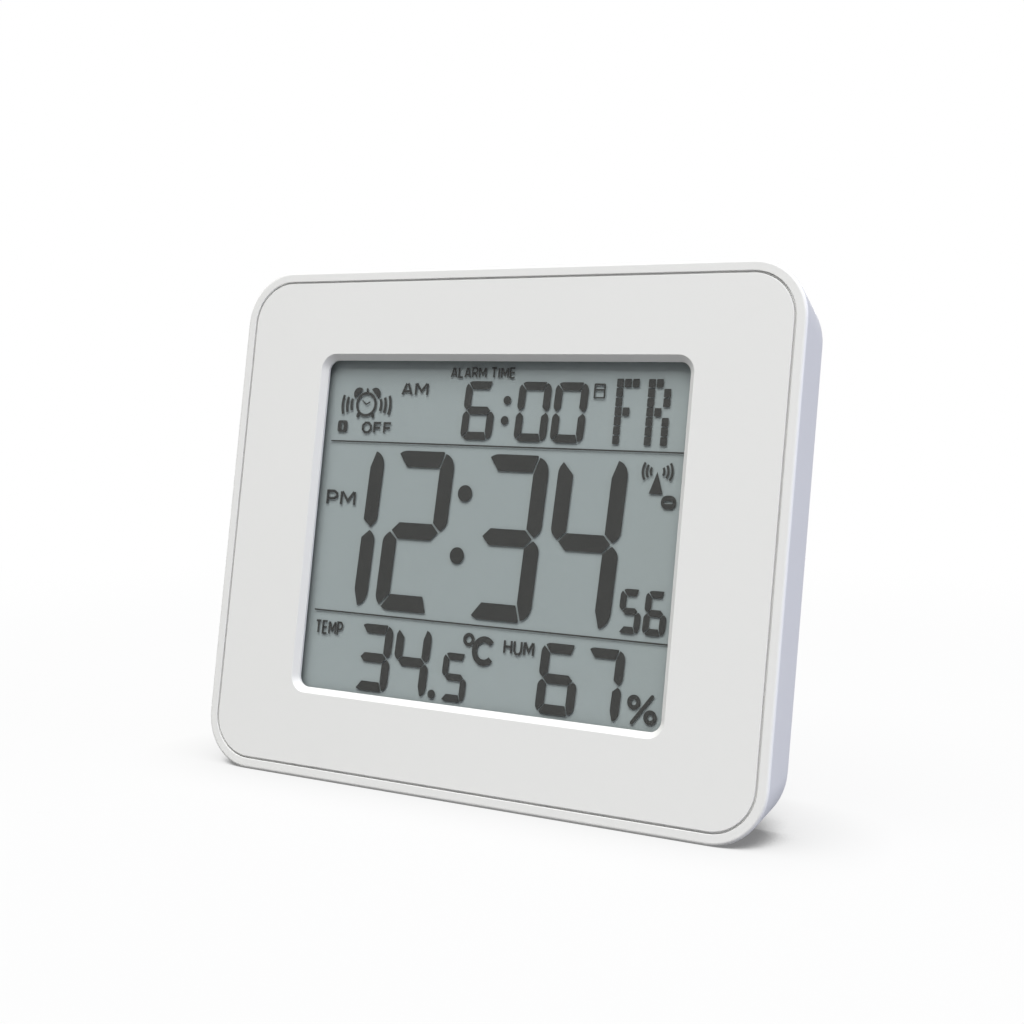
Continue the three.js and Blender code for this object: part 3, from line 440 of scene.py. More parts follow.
def together(*shapes):
    """Several shapes that keep apart, as one."""
    whole = bmesh.new()
    for shape in shapes:
        mesh = bpy.data.meshes.new("part")
        shape.to_mesh(mesh)
        shape.free()
        whole.from_mesh(mesh)
        bpy.data.meshes.remove(mesh)
    return whole


def pegs(places, radius, front, back):
    return together(*[peg(u, v, radius, front, back) for u, v in places])


def round_edge(radius, steps=EDGE_STEPS):
    """Depth and reach along a rounded edge, from the wall out to the open face."""
    turns = [math.pi / 2 * step / steps for step in range(steps + 1)]
    return [(-radius * (1 - math.sin(turn)), radius * (1 - math.cos(turn))) for turn in turns]


def lead_in(radius):
    """The same edge on a face that looks the other way, from the open face in to the wall."""
    return [(-depth, reach) for depth, reach in reversed(round_edge(radius))]


def crowned(outline_at, bottom, top, edge):
    """The sections of a solid with a rounded top edge; outline_at gives its outline drawn in."""
    return [(bottom, outline_at(0))] + [(top + depth, outline_at(inset)) for depth, inset in round_edge(edge)]


def opening(outline_at, bottom, face, edge, place=(0, 0)):
    """A cutter for a hole that comes out at a face, with a rounded edge; outline_at gives it widened."""
    steps = [(bottom, 0)] + [(face + depth, widen) for depth, widen in round_edge(edge)]
    steps.append((face + CUT_OVERSHOOT, edge))
    return skin(*[(depth, shifted(outline_at(widen), *place)) for depth, widen in steps])


def put(name, data):
    """A new object in the scene."""
    thing = bpy.data.objects.new(name, data)
    bpy.context.scene.collection.objects.link(thing)
    return thing


def holder_of(shape):
    mesh = bpy.data.meshes.new("holder")
    shape.to_mesh(mesh)
    shape.free()
    return put("holder", mesh)


def settled(holder):
    """The holder's mesh with its modifiers worked out; the holder goes."""
    graph = bpy.context.evaluated_depsgraph_get()
    mesh = bpy.data.meshes.new_from_object(holder.evaluated_get(graph), depsgraph=graph)
    bpy.data.objects.remove(holder)
    return mesh


def worked(base, *steps):
    """A base shape after joins and cuts in turn."""
    holder = holder_of(base)
    tools = []
    for operation, shape in steps:
        tools.append(holder_of(shape))
        work = holder.modifiers.new(operation, "BOOLEAN")
        work.operation = operation
        work.solver = "EXACT"
        work.object = tools[-1]
    mesh = settled(holder)
    for tool in tools:
        bpy.data.objects.remove(tool)
    return mesh


def mesh_of(shape):
    return settled(holder_of(shape))


def piece(name, mesh, material, body="clock_body", replaces=()):
    """Leans a mesh into place, smooths it between its sharp edges and hands it to the frame."""
    mesh.transform(FACE)
    mesh.materials.clear()
    mesh.materials.append(material)
    mesh.shade_smooth()
    mesh.set_sharp_from_angle(angle=SHARP_EDGE)
    holder = put(name, mesh)
    weigh = holder.modifiers.new("flat faces stay flat", "WEIGHTED_NORMAL")
    weigh.keep_sharp = True
    smooth = settled(holder)
    smooth.name = name
    thing = put(name, smooth)
    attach(thing, body)
    if replaces:
        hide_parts(*replaces)
    return thing


SIDES = (-1, 1)
CASE_BOSSES = [(x * CASE_BOSS[0], z * CASE_BOSS[1]) for x in SIDES for z in SIDES]
BOARD_BOSSES = [(x * BOARD_BOSS[0], z * BOARD_BOSS[1]) for x in SIDES for z in SIDES]


# Case.
def drawn_in(reach):
    """The case's outline at the face, drawn in by a reach."""
    return tile(CASE_HALF_WIDTH - reach, CASE_HALF_HEIGHT - reach, CASE_CORNER - reach)


def case_outline(depth, inset):
    """The outline that the walls have drafted to at a depth, less an inset."""
    half_height = CASE_HALF_HEIGHT - draft_at(depth) - inset
    half_width = CASE_HALF_WIDTH - draft_at(depth, SIDE_DRAFT) - inset
    return tile(half_width, half_height, CASE_CORNER - inset)


def case_shell():
    sections = [(depth, case_outline(FRONT_ROUND, inset)) for depth, inset in lead_in(FRONT_ROUND)]
    for rise, inset in round_edge(REAR_EDGE):
        depth = BACK_OUTER + rise
        sections.append((depth, case_outline(depth, inset)))
    return skin(*sections)


def case_mouth():
    edge = [(depth, drawn_in(RIM_WIDTH - widen)) for depth, widen in lead_in(GROOVE_EDGE)]
    return skin((-CUT_OVERSHOOT, drawn_in(RIM_WIDTH - GROOVE_EDGE)), *edge, (PANEL_SEAT, drawn_in(RIM_WIDTH)))


def case_cavity():
    ledge = RIM_WIDTH + PANEL_LEDGE
    half_width = CASE_HALF_WIDTH - draft_at(BACK_INNER, SIDE_DRAFT) - SIDE_WALL
    half_height = CASE_HALF_HEIGHT - draft_at(BACK_INNER) - SIDE_WALL
    back = tile(half_width, half_height, CASE_CORNER - ledge)
    return skin((PANEL_SEAT - OVERLAP, drawn_in(ledge)), (BACK_INNER, back))


def hump_section(depth, inset, flare=0.0):
    share = (HUMP_REAR - depth) / (HUMP_REAR - BACK_OUTER)
    reach = HUMP_TAPER * share - inset + flare
    bottom = floor_at(depth) + inset
    return depth, rounded(HUMP_HALF_WIDTH + reach, bottom, HUMP_TOP + reach, HUMP_CORNER - inset)


def hump():
    """The battery hump, with a hollow round root on the back wall and a rounded rear edge."""
    sections = [hump_section(BACK_INNER + CUT_OVERSHOOT, OVERLAP, HUMP_ROOT)]
    sections += [hump_section(BACK_OUTER + rise, 0, flare) for rise, flare in lead_in(HUMP_ROOT)]
    sections += [hump_section(HUMP_REAR + rise, inset) for rise, inset in round_edge(HUMP_EDGE)]
    return skin(*sections)


def bay_floor():
    half = BAY_HALF_LENGTH + BAY_FLOOR
    front = BACK_INNER - BAY_FLOOR
    return block(-half, half, front, BACK_INNER + OVERLAP, BAY_BOTTOM - BAY_FLOOR, BAY_TOP + BAY_FLOOR)


def bay():
    back = HUMP_REAR + CUT_OVERSHOOT
    return block(-BAY_HALF_LENGTH, BAY_HALF_LENGTH, BACK_INNER, back, BAY_BOTTOM, BAY_TOP)


def door_outline(widen):
    reach = DOOR_LEDGE + widen
    return rounded(BAY_HALF_LENGTH + reach, BAY_BOTTOM - reach, BAY_TOP + reach, DOOR_CORNER + widen)


def hook_slots():
    bottom = BAY_BOTTOM - DOOR_LEDGE - HOOK_REACH
    top = BAY_BOTTOM - DOOR_LEDGE + 2 * FIT_GAP + HOOK_ROOT
    front = DOOR_INNER - HOOK_THICKNESS - HOOK_SWING
    half = HOOK_WIDTH / 2 + FIT_GAP
    middles = [side * HOOK_PLACE for side in SIDES]
    return together(*[block(u - half, u + half, front, DOOR_INNER + FIT_GAP, bottom, top) for u in middles])


def thumb_notch():
    """A scoop over the door's upper edge, round along its length and at its ends."""
    edge = round_edge(NOTCH_END, EDGE_STEPS * 2)
    right = [(NOTCH_WIDTH / 2 + along, NOTCH_RADIUS - inset) for along, inset in edge]
    left = [(-along, radius) for along, radius in reversed(right)]
    return turned_along_u(left + right, HUMP_REAR + NOTCH_RADIUS / 2, BAY_TOP + DOOR_LEDGE - FIT_GAP)


def contact_tab_slots():
    half_width, half_height = CONTACT_TAB
    left, right = CONTACT_PLACE - half_width, CONTACT_PLACE + half_width
    front, back = BACK_INNER - BAY_FLOOR - CUT_OVERSHOOT, BACK_INNER + OVERLAP
    heights = (CELL_LOWER, CELL_UPPER)
    return together(*[block(left, right, front, back, v - half_height, v + half_height) for v in heights])


def screw_wells():
    seat = BACK_OUTER - CASE_HEAD_SINK

    def outline(widen):
        return circle(0, 0, CASE_HEAD_RADIUS + FIT_GAP + widen)

    return together(*[opening(outline, seat, BACK_OUTER, WELL_EDGE, place) for place in CASE_BOSSES])


def screw_holes():
    front = BACK_INNER - CASE_POST_HEIGHT - CUT_OVERSHOOT
    return pegs(CASE_BOSSES, CASE_SCREW_RADIUS + FIT_GAP, front, BACK_OUTER)


def screw_posts():
    front = BACK_INNER - CASE_POST_HEIGHT
    return pegs(CASE_BOSSES, CASE_BOSS_RADIUS + FIT_GAP, front, BACK_INNER + OVERLAP)


def button_strip():
    half_width = max(BUTTON_PLACES.values()) + BUTTON_HALF_WIDTH + STRIP_BORDER
    half_height = BUTTON_HALF_HEIGHT + STRIP_BORDER

    def outline(widen):
        return tile(half_width + widen, half_height + widen, STRIP_BORDER + widen)

    return opening(outline, BACK_OUTER - STRIP_RECESS, BACK_OUTER, STRIP_EDGE, (0, BUTTON_ROW))


def button_outline(widen):
    return tile(BUTTON_HALF_WIDTH + widen, BUTTON_HALF_HEIGHT + widen, BUTTON_CORNER + widen)


def button_holes():
    bottom, floor = BACK_INNER - CUT_OVERSHOOT, BACK_OUTER - STRIP_RECESS

    def outline(widen):
        return button_outline(FIT_GAP + widen)

    places = [(u, BUTTON_ROW) for u in BUTTON_PLACES.values()]
    return together(*[opening(outline, bottom, floor, BUTTON_HOLE_EDGE, place) for place in places])


def knob_slot():
    half_width = KNOB_HALF_WIDTH + KNOB_TRAVEL / 2 + FIT_GAP
    half_height = KNOB_HALF_HEIGHT + FIT_GAP

    def outline(widen):
        return tile(half_width + widen, half_height + widen, KNOB_SLOT_CORNER + widen)

    bottom = BACK_INNER - CUT_OVERSHOOT
    return opening(outline, bottom, BACK_OUTER, KNOB_SLOT_EDGE, (KNOB_PLACE, LOWER_ROW))


def slot_cutter():
    def outline(widen):
        half_width = SLOT_HALF_WIDTH + widen
        return tile(SLOT_HALF_LENGTH + widen, half_width, half_width * ROUND_END, END_STEPS)

    return opening(outline, BACK_INNER - CUT_OVERSHOOT, BACK_OUTER, SLOT_EDGE)


def snooze_outline(widen):
    half_depth = SNOOZE_HALF_DEPTH + widen
    return tile(SNOOZE_HALF_WIDTH + widen, half_depth, half_depth * SNOOZE_ROUND)


def standing(*sections):
    """A skin over plans about the snooze bar, seen from above, each at its height up the face."""
    shape = skin(*sections)
    for vert in shape.verts:
        u, height, depth = vert.co
        vert.co = (u, SNOOZE_DEPTH + depth, height)
    bmesh.ops.reverse_faces(shape, faces=shape.faces)
    return shape


def snooze_opening():
    plan = snooze_outline(FIT_GAP)
    return standing((SNOOZE_FLANGE[1], plan), (CASE_HALF_HEIGHT + CUT_OVERSHOOT, plan))


# Geometry Nodes trees.
def new_tree(name, sockets):
    """A tree with a geometry in and out and the named inputs that it is given."""
    tree = bpy.data.node_groups.new(name, "GeometryNodeTree")
    tree.interface.new_socket("Geometry", in_out="INPUT", socket_type="NodeSocketGeometry")
    for label, kind in sockets:
        tree.interface.new_socket(label, in_out="INPUT", socket_type=kind)
    tree.interface.new_socket("Geometry", in_out="OUTPUT", socket_type="NodeSocketGeometry")
    return tree, add(tree, "NodeGroupInput")


def close_tree(tree, start, geometry):
    """Ends a tree in real geometry with its material."""
    real = add(tree, "GeometryNodeRealizeInstances", {"Geometry": geometry})
    inputs = {"Geometry": real.outputs["Geometry"], "Material": start.outputs["Material"]}
    finish = add(tree, "GeometryNodeSetMaterial", inputs)
    add(tree, "NodeGroupOutput", {"Geometry": finish.outputs["Geometry"]})
    return tree


def copies_tree():
    """Sets one shape on every given point."""
    sockets = [("Shape", "NodeSocketObject"), ("Size", "NodeSocketFloat"), ("Material", "NodeSocketMaterial")]
    tree, start = new_tree("copies on points", sockets)
    shape = add(tree, "GeometryNodeObjectInfo", {"Object": start.outputs["Shape"]})
    inputs = {
        "Points": start.outputs["Geometry"],
        "Instance": shape.outputs["Geometry"],
        "Scale": start.outputs["Size"],
    }
    copies = add(tree, "GeometryNodeInstanceOnPoints", inputs)
    return close_tree(tree, start, copies.outputs["Instances"])


def coil_tree():
    """Winds round wire into a helix that rises along z."""
    sockets = [
        ("Turns", "NodeSocketFloat"),
        ("Radius", "NodeSocketFloat"),
        ("Rise", "NodeSocketFloat"),
        ("Wire", "NodeSocketFloat"),
        ("Steps", "NodeSocketInt"),
        ("Material", "NodeSocketMaterial"),
    ]
    tree, start = new_tree("wound wire", sockets)
    inputs = {
        "Resolution": start.outputs["Steps"],
        "Rotations": start.outputs["Turns"],
        "Start Radius": start.outputs["Radius"],
        "End Radius": start.outputs["Radius"],
        "Height": start.outputs["Rise"],
    }
    path = add(tree, "GeometryNodeCurveSpiral", inputs)
    inputs = {"Resolution": WIRE_STEPS, "Radius": start.outputs["Wire"]}
    section = add(tree, "GeometryNodeCurvePrimitiveCircle", inputs)
    inputs = {"Curve": path.outputs["Curve"], "Profile Curve": section.outputs["Curve"], "Fill Caps": True}
    wire = add(tree, "GeometryNodeCurveToMesh", inputs)
    return close_tree(tree, start, wire.outputs["Mesh"])


def grown(shape, tree, values):
    """The plain mesh that a tree makes of a shape, with its named inputs set."""
    holder = holder_of(shape)
    work = holder.modifiers.new(tree.name, "NODES")
    work.node_group = tree
    for item in tree.interface.items_tree:
        if item.in_out == "INPUT" and item.name in values:
            work[item.identifier] = values[item.name]
    return settled(holder)


def points(places):
    shape = bmesh.new()
    for place in places:
        shape.verts.new(place)
    return shape


def shape_of(mesh):
    shape = bmesh.new()
    shape.from_mesh(mesh)
    bmesh.ops.remove_doubles(shape, verts=shape.verts, dist=1e-4)
    bmesh.ops.recalc_face_normals(shape, faces=shape.faces)
    return shape


COPIES = copies_tree()
COIL = coil_tree()


def copies(shape, places, material):
    """Copies of a shape on points, as one plain mesh."""
    model = holder_of(shape)
    mesh = grown(points(places), COPIES, {"Shape": model, "Size": 1.0, "Material": material})
    bpy.data.objects.remove(model)
    return mesh


def slot_rows(material):
    places = []
    for u, v in (VENT_PLACE, GRILLE_PLACE):
        for k in range(SLOT_COUNT):
            places.append((u, 0, v + (k - (SLOT_COUNT - 1) / 2) * SLOT_PITCH))
    return shape_of(copies(slot_cutter(), places, material))


def case_moulding(material):
    mesh = worked(
        case_shell(),
        ("DIFFERENCE", case_mouth()),
        ("DIFFERENCE", case_cavity()),
        ("UNION", hump()),
        ("UNION", bay_floor()),
        ("UNION", screw_posts()),
        ("DIFFERENCE", bay()),
        ("DIFFERENCE", prism(door_outline(0), DOOR_SEAT, HUMP_REAR + CUT_OVERSHOOT)),
        ("DIFFERENCE", hook_slots()),
        ("DIFFERENCE", thumb_notch()),
        ("DIFFERENCE", contact_tab_slots()),
        ("DIFFERENCE", screw_wells()),
        ("DIFFERENCE", screw_holes()),
        ("DIFFERENCE", button_strip()),
        ("DIFFERENCE", button_holes()),
        ("DIFFERENCE", knob_slot()),
        ("DIFFERENCE", slot_rows(material)),
        ("DIFFERENCE", snooze_opening()),
    )
    return piece("case_moulding", mesh, material, replaces=["rear_case"])


# Face panel.
def panel_sheet():
    side = RIM_WIDTH + GROOVE
    edge = [(depth, drawn_in(side + inset)) for depth, inset in lead_in(GROOVE_EDGE)]
    tongue = drawn_in(RIM_WIDTH + GROOVE_LEFT)
    return skin(*edge, (GROOVE_DEPTH, drawn_in(side)), (GROOVE_DEPTH, tongue), (PANEL_THICKNESS, tongue))


def window_outline(inset):
    outline = tile(WINDOW_HALF_WIDTH - inset, WINDOW_HALF_HEIGHT - inset, WINDOW_CORNER - inset)
    return shifted(outline, 0, -WINDOW_DROP)


def window_cut():
    """The bevelled window, with a small round where the bevel meets the face."""
    reach = WINDOW_EDGE * math.tan(math.pi / 8)
    sections = [(-CUT_OVERSHOOT, window_outline(-reach))]
    for step in range(EDGE_STEPS + 1):
        turn = math.pi / 4 * step / EDGE_STEPS
        inset = WINDOW_EDGE * math.sin(turn) - reach
        sections.append((WINDOW_EDGE * (1 - math.cos(turn)), window_outline(inset)))
    sections.append((WINDOW_BEVEL, window_outline(WINDOW_BEVEL)))
    sections.append((PANEL_THICKNESS + OVERLAP, window_outline(WINDOW_BEVEL)))
    return skin(*sections)


def glass_pocket():
    outline = tile(GLASS_HALF_WIDTH + FIT_GAP, GLASS_HALF_HEIGHT + FIT_GAP, RIB_WALL / 2)
    return prism(outline, PANEL_THICKNESS, BOARD_FRONT)


def glass_rib():
    reach = FIT_GAP + RIB_WALL
    outline = tile(GLASS_HALF_WIDTH + reach, GLASS_HALF_HEIGHT + reach, RIB_WALL)
    return prism(outline, PANEL_THICKNESS - OVERLAP, RIB_END)


def antenna_cradles():
    reach = ANTENNA_RADIUS + FIT_GAP + CRADLE_WALL
    back = ANTENNA_DEPTH + ANTENNA_RADIUS / 2
    low, high = ANTENNA_HEIGHT - reach, ANTENNA_HEIGHT + reach
    stands = []
    for side in SIDES:
        left = side * CRADLE_PLACE - CRADLE_WIDTH / 2
        stands.append(block(left, left + CRADLE_WIDTH, PANEL_THICKNESS - OVERLAP, back, low, high))
    return together(*stands)


def antenna_bed():
    reach = CRADLE_PLACE + CRADLE_WIDTH
    radius = ANTENNA_RADIUS + FIT_GAP
    return turned_along_u([(-reach, radius), (reach, radius)], ANTENNA_DEPTH, ANTENNA_HEIGHT)


def panel_bosses():
    root = PANEL_THICKNESS - OVERLAP
    return together(
        pegs(CASE_BOSSES, CASE_BOSS_RADIUS, root, BACK_INNER - CASE_POST_HEIGHT - FIT_GAP),
        pegs(BOARD_BOSSES, BOARD_BOSS_RADIUS, root, BOARD_FRONT - FIT_GAP),
    )


def panel_pilots():
    return together(
        pegs(CASE_BOSSES, CASE_SCREW_RADIUS + LAY_GAP, PILOT_FLOOR, BACK_INNER),
        pegs(BOARD_BOSSES, BOARD_SCREW_RADIUS + LAY_GAP, PILOT_FLOOR, BOARD_FRONT),
    )


def face_moulding(material):
    mesh = worked(
        panel_sheet(),
        ("UNION", glass_rib()),
        ("UNION", antenna_cradles()),
        ("DIFFERENCE", antenna_bed()),
        ("UNION", panel_bosses()),
        ("DIFFERENCE", panel_pilots()),
        ("DIFFERENCE", glass_pocket()),
        ("DIFFERENCE", window_cut()),
    )
    return piece("face_moulding", mesh, material, replaces=["face_panel"])


# What the display shows. Each mark is a list of closed lines on the display, the first its outside.
MARK_FRONT = 2.34
MARK_BACK = 2.37
MARK_SHIFT = 0.22
GLASS_DEPTHS = (2.3, 2.6)
FILM_DEPTHS = (2.62, 3.48)
DIGIT_SLANT = 0.042
LIT = {
    "0": "abcdef",
    "1": "bc",
    "2": "abged",
    "3": "abgcd",
    "4": "fgbc",
    "5": "afgcd",
    "6": "afgedc",
    "7": "abc",
}
BIG_DIGIT = (13.5, 29.4, 3.0)
ALARM_DIGIT = (6.55, 10.6, 1.45)
CLIMATE_DIGIT = (7.6, 12.2, 1.7)
TENTHS_DIGIT = (5.3, 8.6, 1.25)
SECONDS_DIGIT = (4.2, 7.5, 1.18)
DIGITS = [
    (BIG_DIGIT, -0.5, [("1", -31.09), ("2", -15.7), ("3", 3.85), ("4", 19.25)]),
    (ALARM_DIGIT, 21.9, [("6", -4.36), ("0", 6.8), ("0", 14.14)]),
    (CLIMATE_DIGIT, -24.1, [("3", -22.2), ("4", -13.8), ("6", 16.5), ("7", 25.0)]),
    (TENTHS_DIGIT, -25.9, [("5", -4.4)]),
    (SECONDS_DIGIT, -11.4, [("5", 29.1), ("6", 33.8)]),
]
DOTS = [
    (-5.65, 6.9, 1.5),
    (-6.15, -4.3, 1.5),
    (1.4, 23.85, 0.78),
    (1.2, 20.25, 0.78),
    (-8.85, -29.35, 0.8),
]
DIVIDERS = (15.55, -16.35)
DIVIDER_HALF_LENGTH = 36.4
DIVIDER_WIDTH = 0.27
# Where the small signs stand.
ALARM_SIGN = (-29.2, 22.6)
ONE_BADGE = (-34.2, 18.35)
RADIO_SIGN = (31.95, 10.4)
CALENDAR_SIGN = (19.7, 25.75)
RECEIVE_BADGE = (34.45, 7.2)
PERCENT_SIGN = (32.85, -27.45)
DEGREE_RING = (-2.0, -18.95)
DEGREE_LETTER = (1.3, -20.7)
# Letters as strokes on a square of one, each with its width.
LETTERS = {
    "A": (1.0, [[(0, 0), (0.42, 1)], [(0.58, 1), (1, 0)], [(0.2, 0.3), (0.8, 0.3)]]),
    "E": (0.8, [[(1, 1), (0, 1), (0, 0), (1, 0)], [(0, 0.52), (0.9, 0.52)]]),
    "F": (0.8, [[(1, 1), (0, 1), (0, 0)], [(0, 0.5), (0.9, 0.5)]]),
    "H": (0.95, [[(0, 0), (0, 1)], [(1, 0), (1, 1)], [(0, 0.52), (1, 0.52)]]),
    "I": (0.15, [[(0.5, 0), (0.5, 1)]]),
    "L": (0.75, [[(0, 1), (0, 0), (1, 0)]]),
    "M": (1.2, [[(0, 0), (0, 1)], [(1, 0), (1, 1)], [(0.06, 1), (0.5, 0.3), (0.94, 1)]]),
    "O": (1.0, [
        [(0.5, 0), (0.3, 0), (0, 0.3), (0, 0.7), (0.3, 1), (0.5, 1)],
        [(0.5, 0), (0.7, 0), (1, 0.3), (1, 0.7), (0.7, 1), (0.5, 1)],
    ]),
    "P": (0.85, [[(0, 0), (0, 1.09)], [(0, 1), (0.7, 1), (1, 0.83), (1, 0.6), (0.7, 0.43), (0, 0.43)]]),
    "R": (0.9, [
        [(0, 0), (0, 1.09)],
        [(0, 1), (0.7, 1), (1, 0.83), (1, 0.63), (0.7, 0.46), (0, 0.46)],
        [(0.5, 0.46), (1, 0)],
    ]),
    "T": (0.9, [[(0, 1), (1, 1)], [(0.5, 0), (0.5, 1)]]),
    "U": (0.95, [[(0, 1), (0, 0.25), (0.25, 0), (0.75, 0), (1, 0.25), (1, 1)]]),
    " ": (0.25, []),
}
LETTER_GAP = 0.42
# Each word with its left and right ends, its foot and its head on the display, and its stroke.
WORDS = [
    ("ALARM TIME", -11.0, 2.6, 27.75, 29.75, 0.3),
    ("AM", -21.5, -15.6, 24.35, 26.85, 0.42),
    ("OFF", -29.7, -22.95, 17.15, 19.35, 0.42),
    ("PM", -36.3, -29.6, 3.4, 6.3, 0.48),
    ("TEMP", -36.0, -29.6, -20.8, -18.2, 0.38),
    ("HUM", 5.2, 11.4, -20.8, -18.2, 0.42),
]


def ribbon(path, width):
    """A bent stroke of even width with square ends."""
    path = [Vector(place) for place in path]
    near, far = [], []
    for k, place in enumerate(path):
        arrive = (place - path[k - 1]).normalized() if k else (path[1] - place).normalized()
        leave = (path[k + 1] - place).normalized() if k + 1 < len(path) else arrive
        across = Vector((-arrive.y - leave.y, arrive.x + leave.x)).normalized()
        reach = width / 2 / across.dot(Vector((-arrive.y, arrive.x)))
        near.append(tuple(place + across * reach))
        far.append(tuple(place - across * reach))
    return [near + far[::-1]]


def word_marks():
    """Every word, its letters spread so that it fills its place."""
    marks = []
    for text, left, right, foot, head, stroke in WORDS:
        spread = sum(LETTERS[letter][0] for letter in text) + LETTER_GAP * (len(text) - 1)
        unit = (right - left - stroke) / spread
        u = left + stroke / 2
        tall = head - foot - stroke
        for letter in text:
            width, strokes = LETTERS[letter]
            for path in strokes:
                line = [(u + x * width * unit, foot + stroke / 2 + y * tall) for x, y in path]
                marks.append(ribbon(line, stroke))
            u += (width + LETTER_GAP) * unit
    return marks


def bend(start, corner, end, steps=8):
    """Points along a curve from start towards a corner and round to end, without the start."""
    path = []
    for step in range(1, steps + 1):
        t = step / steps
        near, middle, far = (1 - t) ** 2, 2 * t * (1 - t), t ** 2
        path.append(tuple(near * a + middle * b + far * c for a, b, c in zip(start, corner, end)))
    return path


def segment_shapes(width, height, stroke):
    """The seven segments of a digit about its middle, with round outer corners and thin slanting gaps."""
    q = stroke / 3
    right, top = width / 2, height / 2
    inner, shoulder = right - stroke, top - stroke
    upper = [(-right + 1.4 * q, top - 0.6 * q)]
    upper += bend(upper[0], (-right + 2.1 * q, top), (-right + 3.2 * q, top), 4)
    upper += [(right - 2.7 * q, top)]
    upper += bend(upper[-1], (right - 2.35 * q, top), (right - 2.32 * q, top - 0.25 * q), 3)
    upper += [(right - 3.25 * q, shoulder), (-right + 3.25 * q, shoulder)]
    rise = [(right - 2.0 * q, top - 0.35 * q)]
    rise += bend(rise[0], (right - 0.1 * q, top - 0.9 * q), (right, top - 3.2 * q))
    rise += [(right, 2.2 * q)]
    rise += bend(rise[-1], (right - 0.05 * q, 1.1 * q), (right - 1.35 * q, 0.3 * q), 6)
    rise += [(inner, 1.7 * q), (inner, shoulder - 0.35 * q)]
    left = [(-right + 0.9 * q, top - 0.95 * q), (-inner, shoulder - 0.1 * q), (-inner, 1.7 * q)]
    left += [(-right + 1.4 * q, 0.3 * q)]
    left += bend(left[-1], (-right + 0.1 * q, 1.1 * q), (-right, 2.2 * q), 6)
    left += [(-right, top - 3.0 * q)]
    left += bend(left[-1], (-right, top - 1.8 * q), left[0], 6)[:-1]
    tip = right - 1.7 * q
    half = stroke / 2
    middle = [(-tip, 0), (-inner + 0.2 * q, half), (inner - 0.2 * q, half)]
    middle += [(tip, 0), (inner - 0.2 * q, -half), (-inner + 0.2 * q, -half)]
    below = [[(u, -v) for u, v in line] for line in (upper, rise, left)]
    return dict(zip("abfdceg", (upper, rise, left, *below, middle)))


def digit_marks():
    marks = []
    for (width, height, stroke), level, places in DIGITS:
        shapes = segment_shapes(width, height, stroke)
        for figure, u in places:
            for letter in LIT[figure]:
                line = [(u + x + DIGIT_SLANT * y, level + y) for x, y in shapes[letter]]
                marks.append([line])
    return marks


def band(u, v, radius, width, start, end, squash=1.0, steps=24):
    """A curved band from one angle to another, in degrees; squash narrows it."""
    turns = [math.radians(start + (end - start) * step / steps) for step in range(steps + 1)]
    outer, inner = radius + width / 2, radius - width / 2
    line = [(u + squash * outer * math.cos(turn), v + outer * math.sin(turn)) for turn in turns]
    line += [(u + squash * inner * math.cos(turn), v + inner * math.sin(turn)) for turn in reversed(turns)]
    return [line]


def ring(u, v, radius, width):
    return [circle(u, v, radius + width / 2, 32), circle(u, v, radius - width / 2, 32)]


def bar(start, end, width):
    """A straight stroke with round ends."""
    along = math.atan2(end[1] - start[1], end[0] - start[0])
    line = []
    for (u, v), turn in ((end, along - math.pi / 2), (start, along + math.pi / 2)):
        for step in range(9):
            angle = turn + math.pi * step / 8
            line.append((u + width / 2 * math.cos(angle), v + width / 2 * math.sin(angle)))
    return [line]


def waves(u, v, radii, width, spread):
    """Sound or radio waves spreading to both sides of a point."""
    marks = []
    for radius in radii:
        marks.append(band(u, v, radius, width, -spread, spread))
        marks.append(band(u, v, radius, width, 180 - spread, 180 + spread))
    return marks


def alarm_sign():
    """A plain twin-bell alarm clock that rings."""
    u, v = ALARM_SIGN
    marks = [ring(u, v, 2.1, 0.5), ribbon([(u - 0.95, v + 0.7), (u, v), (u + 0.85, v + 0.45)], 0.26)]
    for side in SIDES:
        marks.append([shifted(dome(1.2, 45 if side < 0 else -45), u + side * 1.85, v + 1.95)])
        marks.append(bar((u + side * 1.6, v - 1.85), (u + side * 1.75, v - 2.25), 0.62))
    marks.append(bar((u, v + 2.5), (u, v + 2.85), 0.4))
    return marks + waves(u, v - 0.1, (3.4, 4.4, 5.45), 0.52, 19)


def dome(radius, tilt, steps=16):
    """A bell cap: half a disc, tilted in degrees."""
    turns = [math.radians(tilt + 180 * step / steps) for step in range(steps + 1)]
    return [(radius * math.cos(turn), radius * math.sin(turn)) for turn in turns]


def one_badge():
    """A rounded tile with a figure one cut from it."""
    figure = [(-0.2, -0.65), (0.25, -0.65), (0.25, 0.65), (-0.2, 0.65), (-0.45, 0.3), (-0.2, 0.3)]
    return [shifted(line, *ONE_BADGE) for line in (tile(1.1, 1.1, 0.45, 6), figure)]


def radio_sign():
    u, v = RADIO_SIGN
    mast = [[(u - 1.3, v - 1.9), (u + 1.3, v - 1.9), (u, v + 1.85)]]
    return [mast] + waves(u, v + 1.9, (1.25, 2.0, 2.75), 0.42, 32)


def calendar_sign():
    """A small calendar leaf: a frame with a bar under its head."""
    head = rounded(0.82, 0.35, 0.95, 0.1, 3)
    leaf = rounded(0.82, -1.05, 0.05, 0.1, 3)
    return [shifted(line, *CALENDAR_SIGN) for line in (tile(1.1, 1.3, 0.2, 4), head, leaf)]


def receive_badge():
    """A round-ended tile with a bar cut from it."""
    lines = (tile(1.4, 1.15, 1.1, 8), tile(0.8, 0.25, 0.24, 6))
    return [shifted(line, *RECEIVE_BADGE) for line in lines]


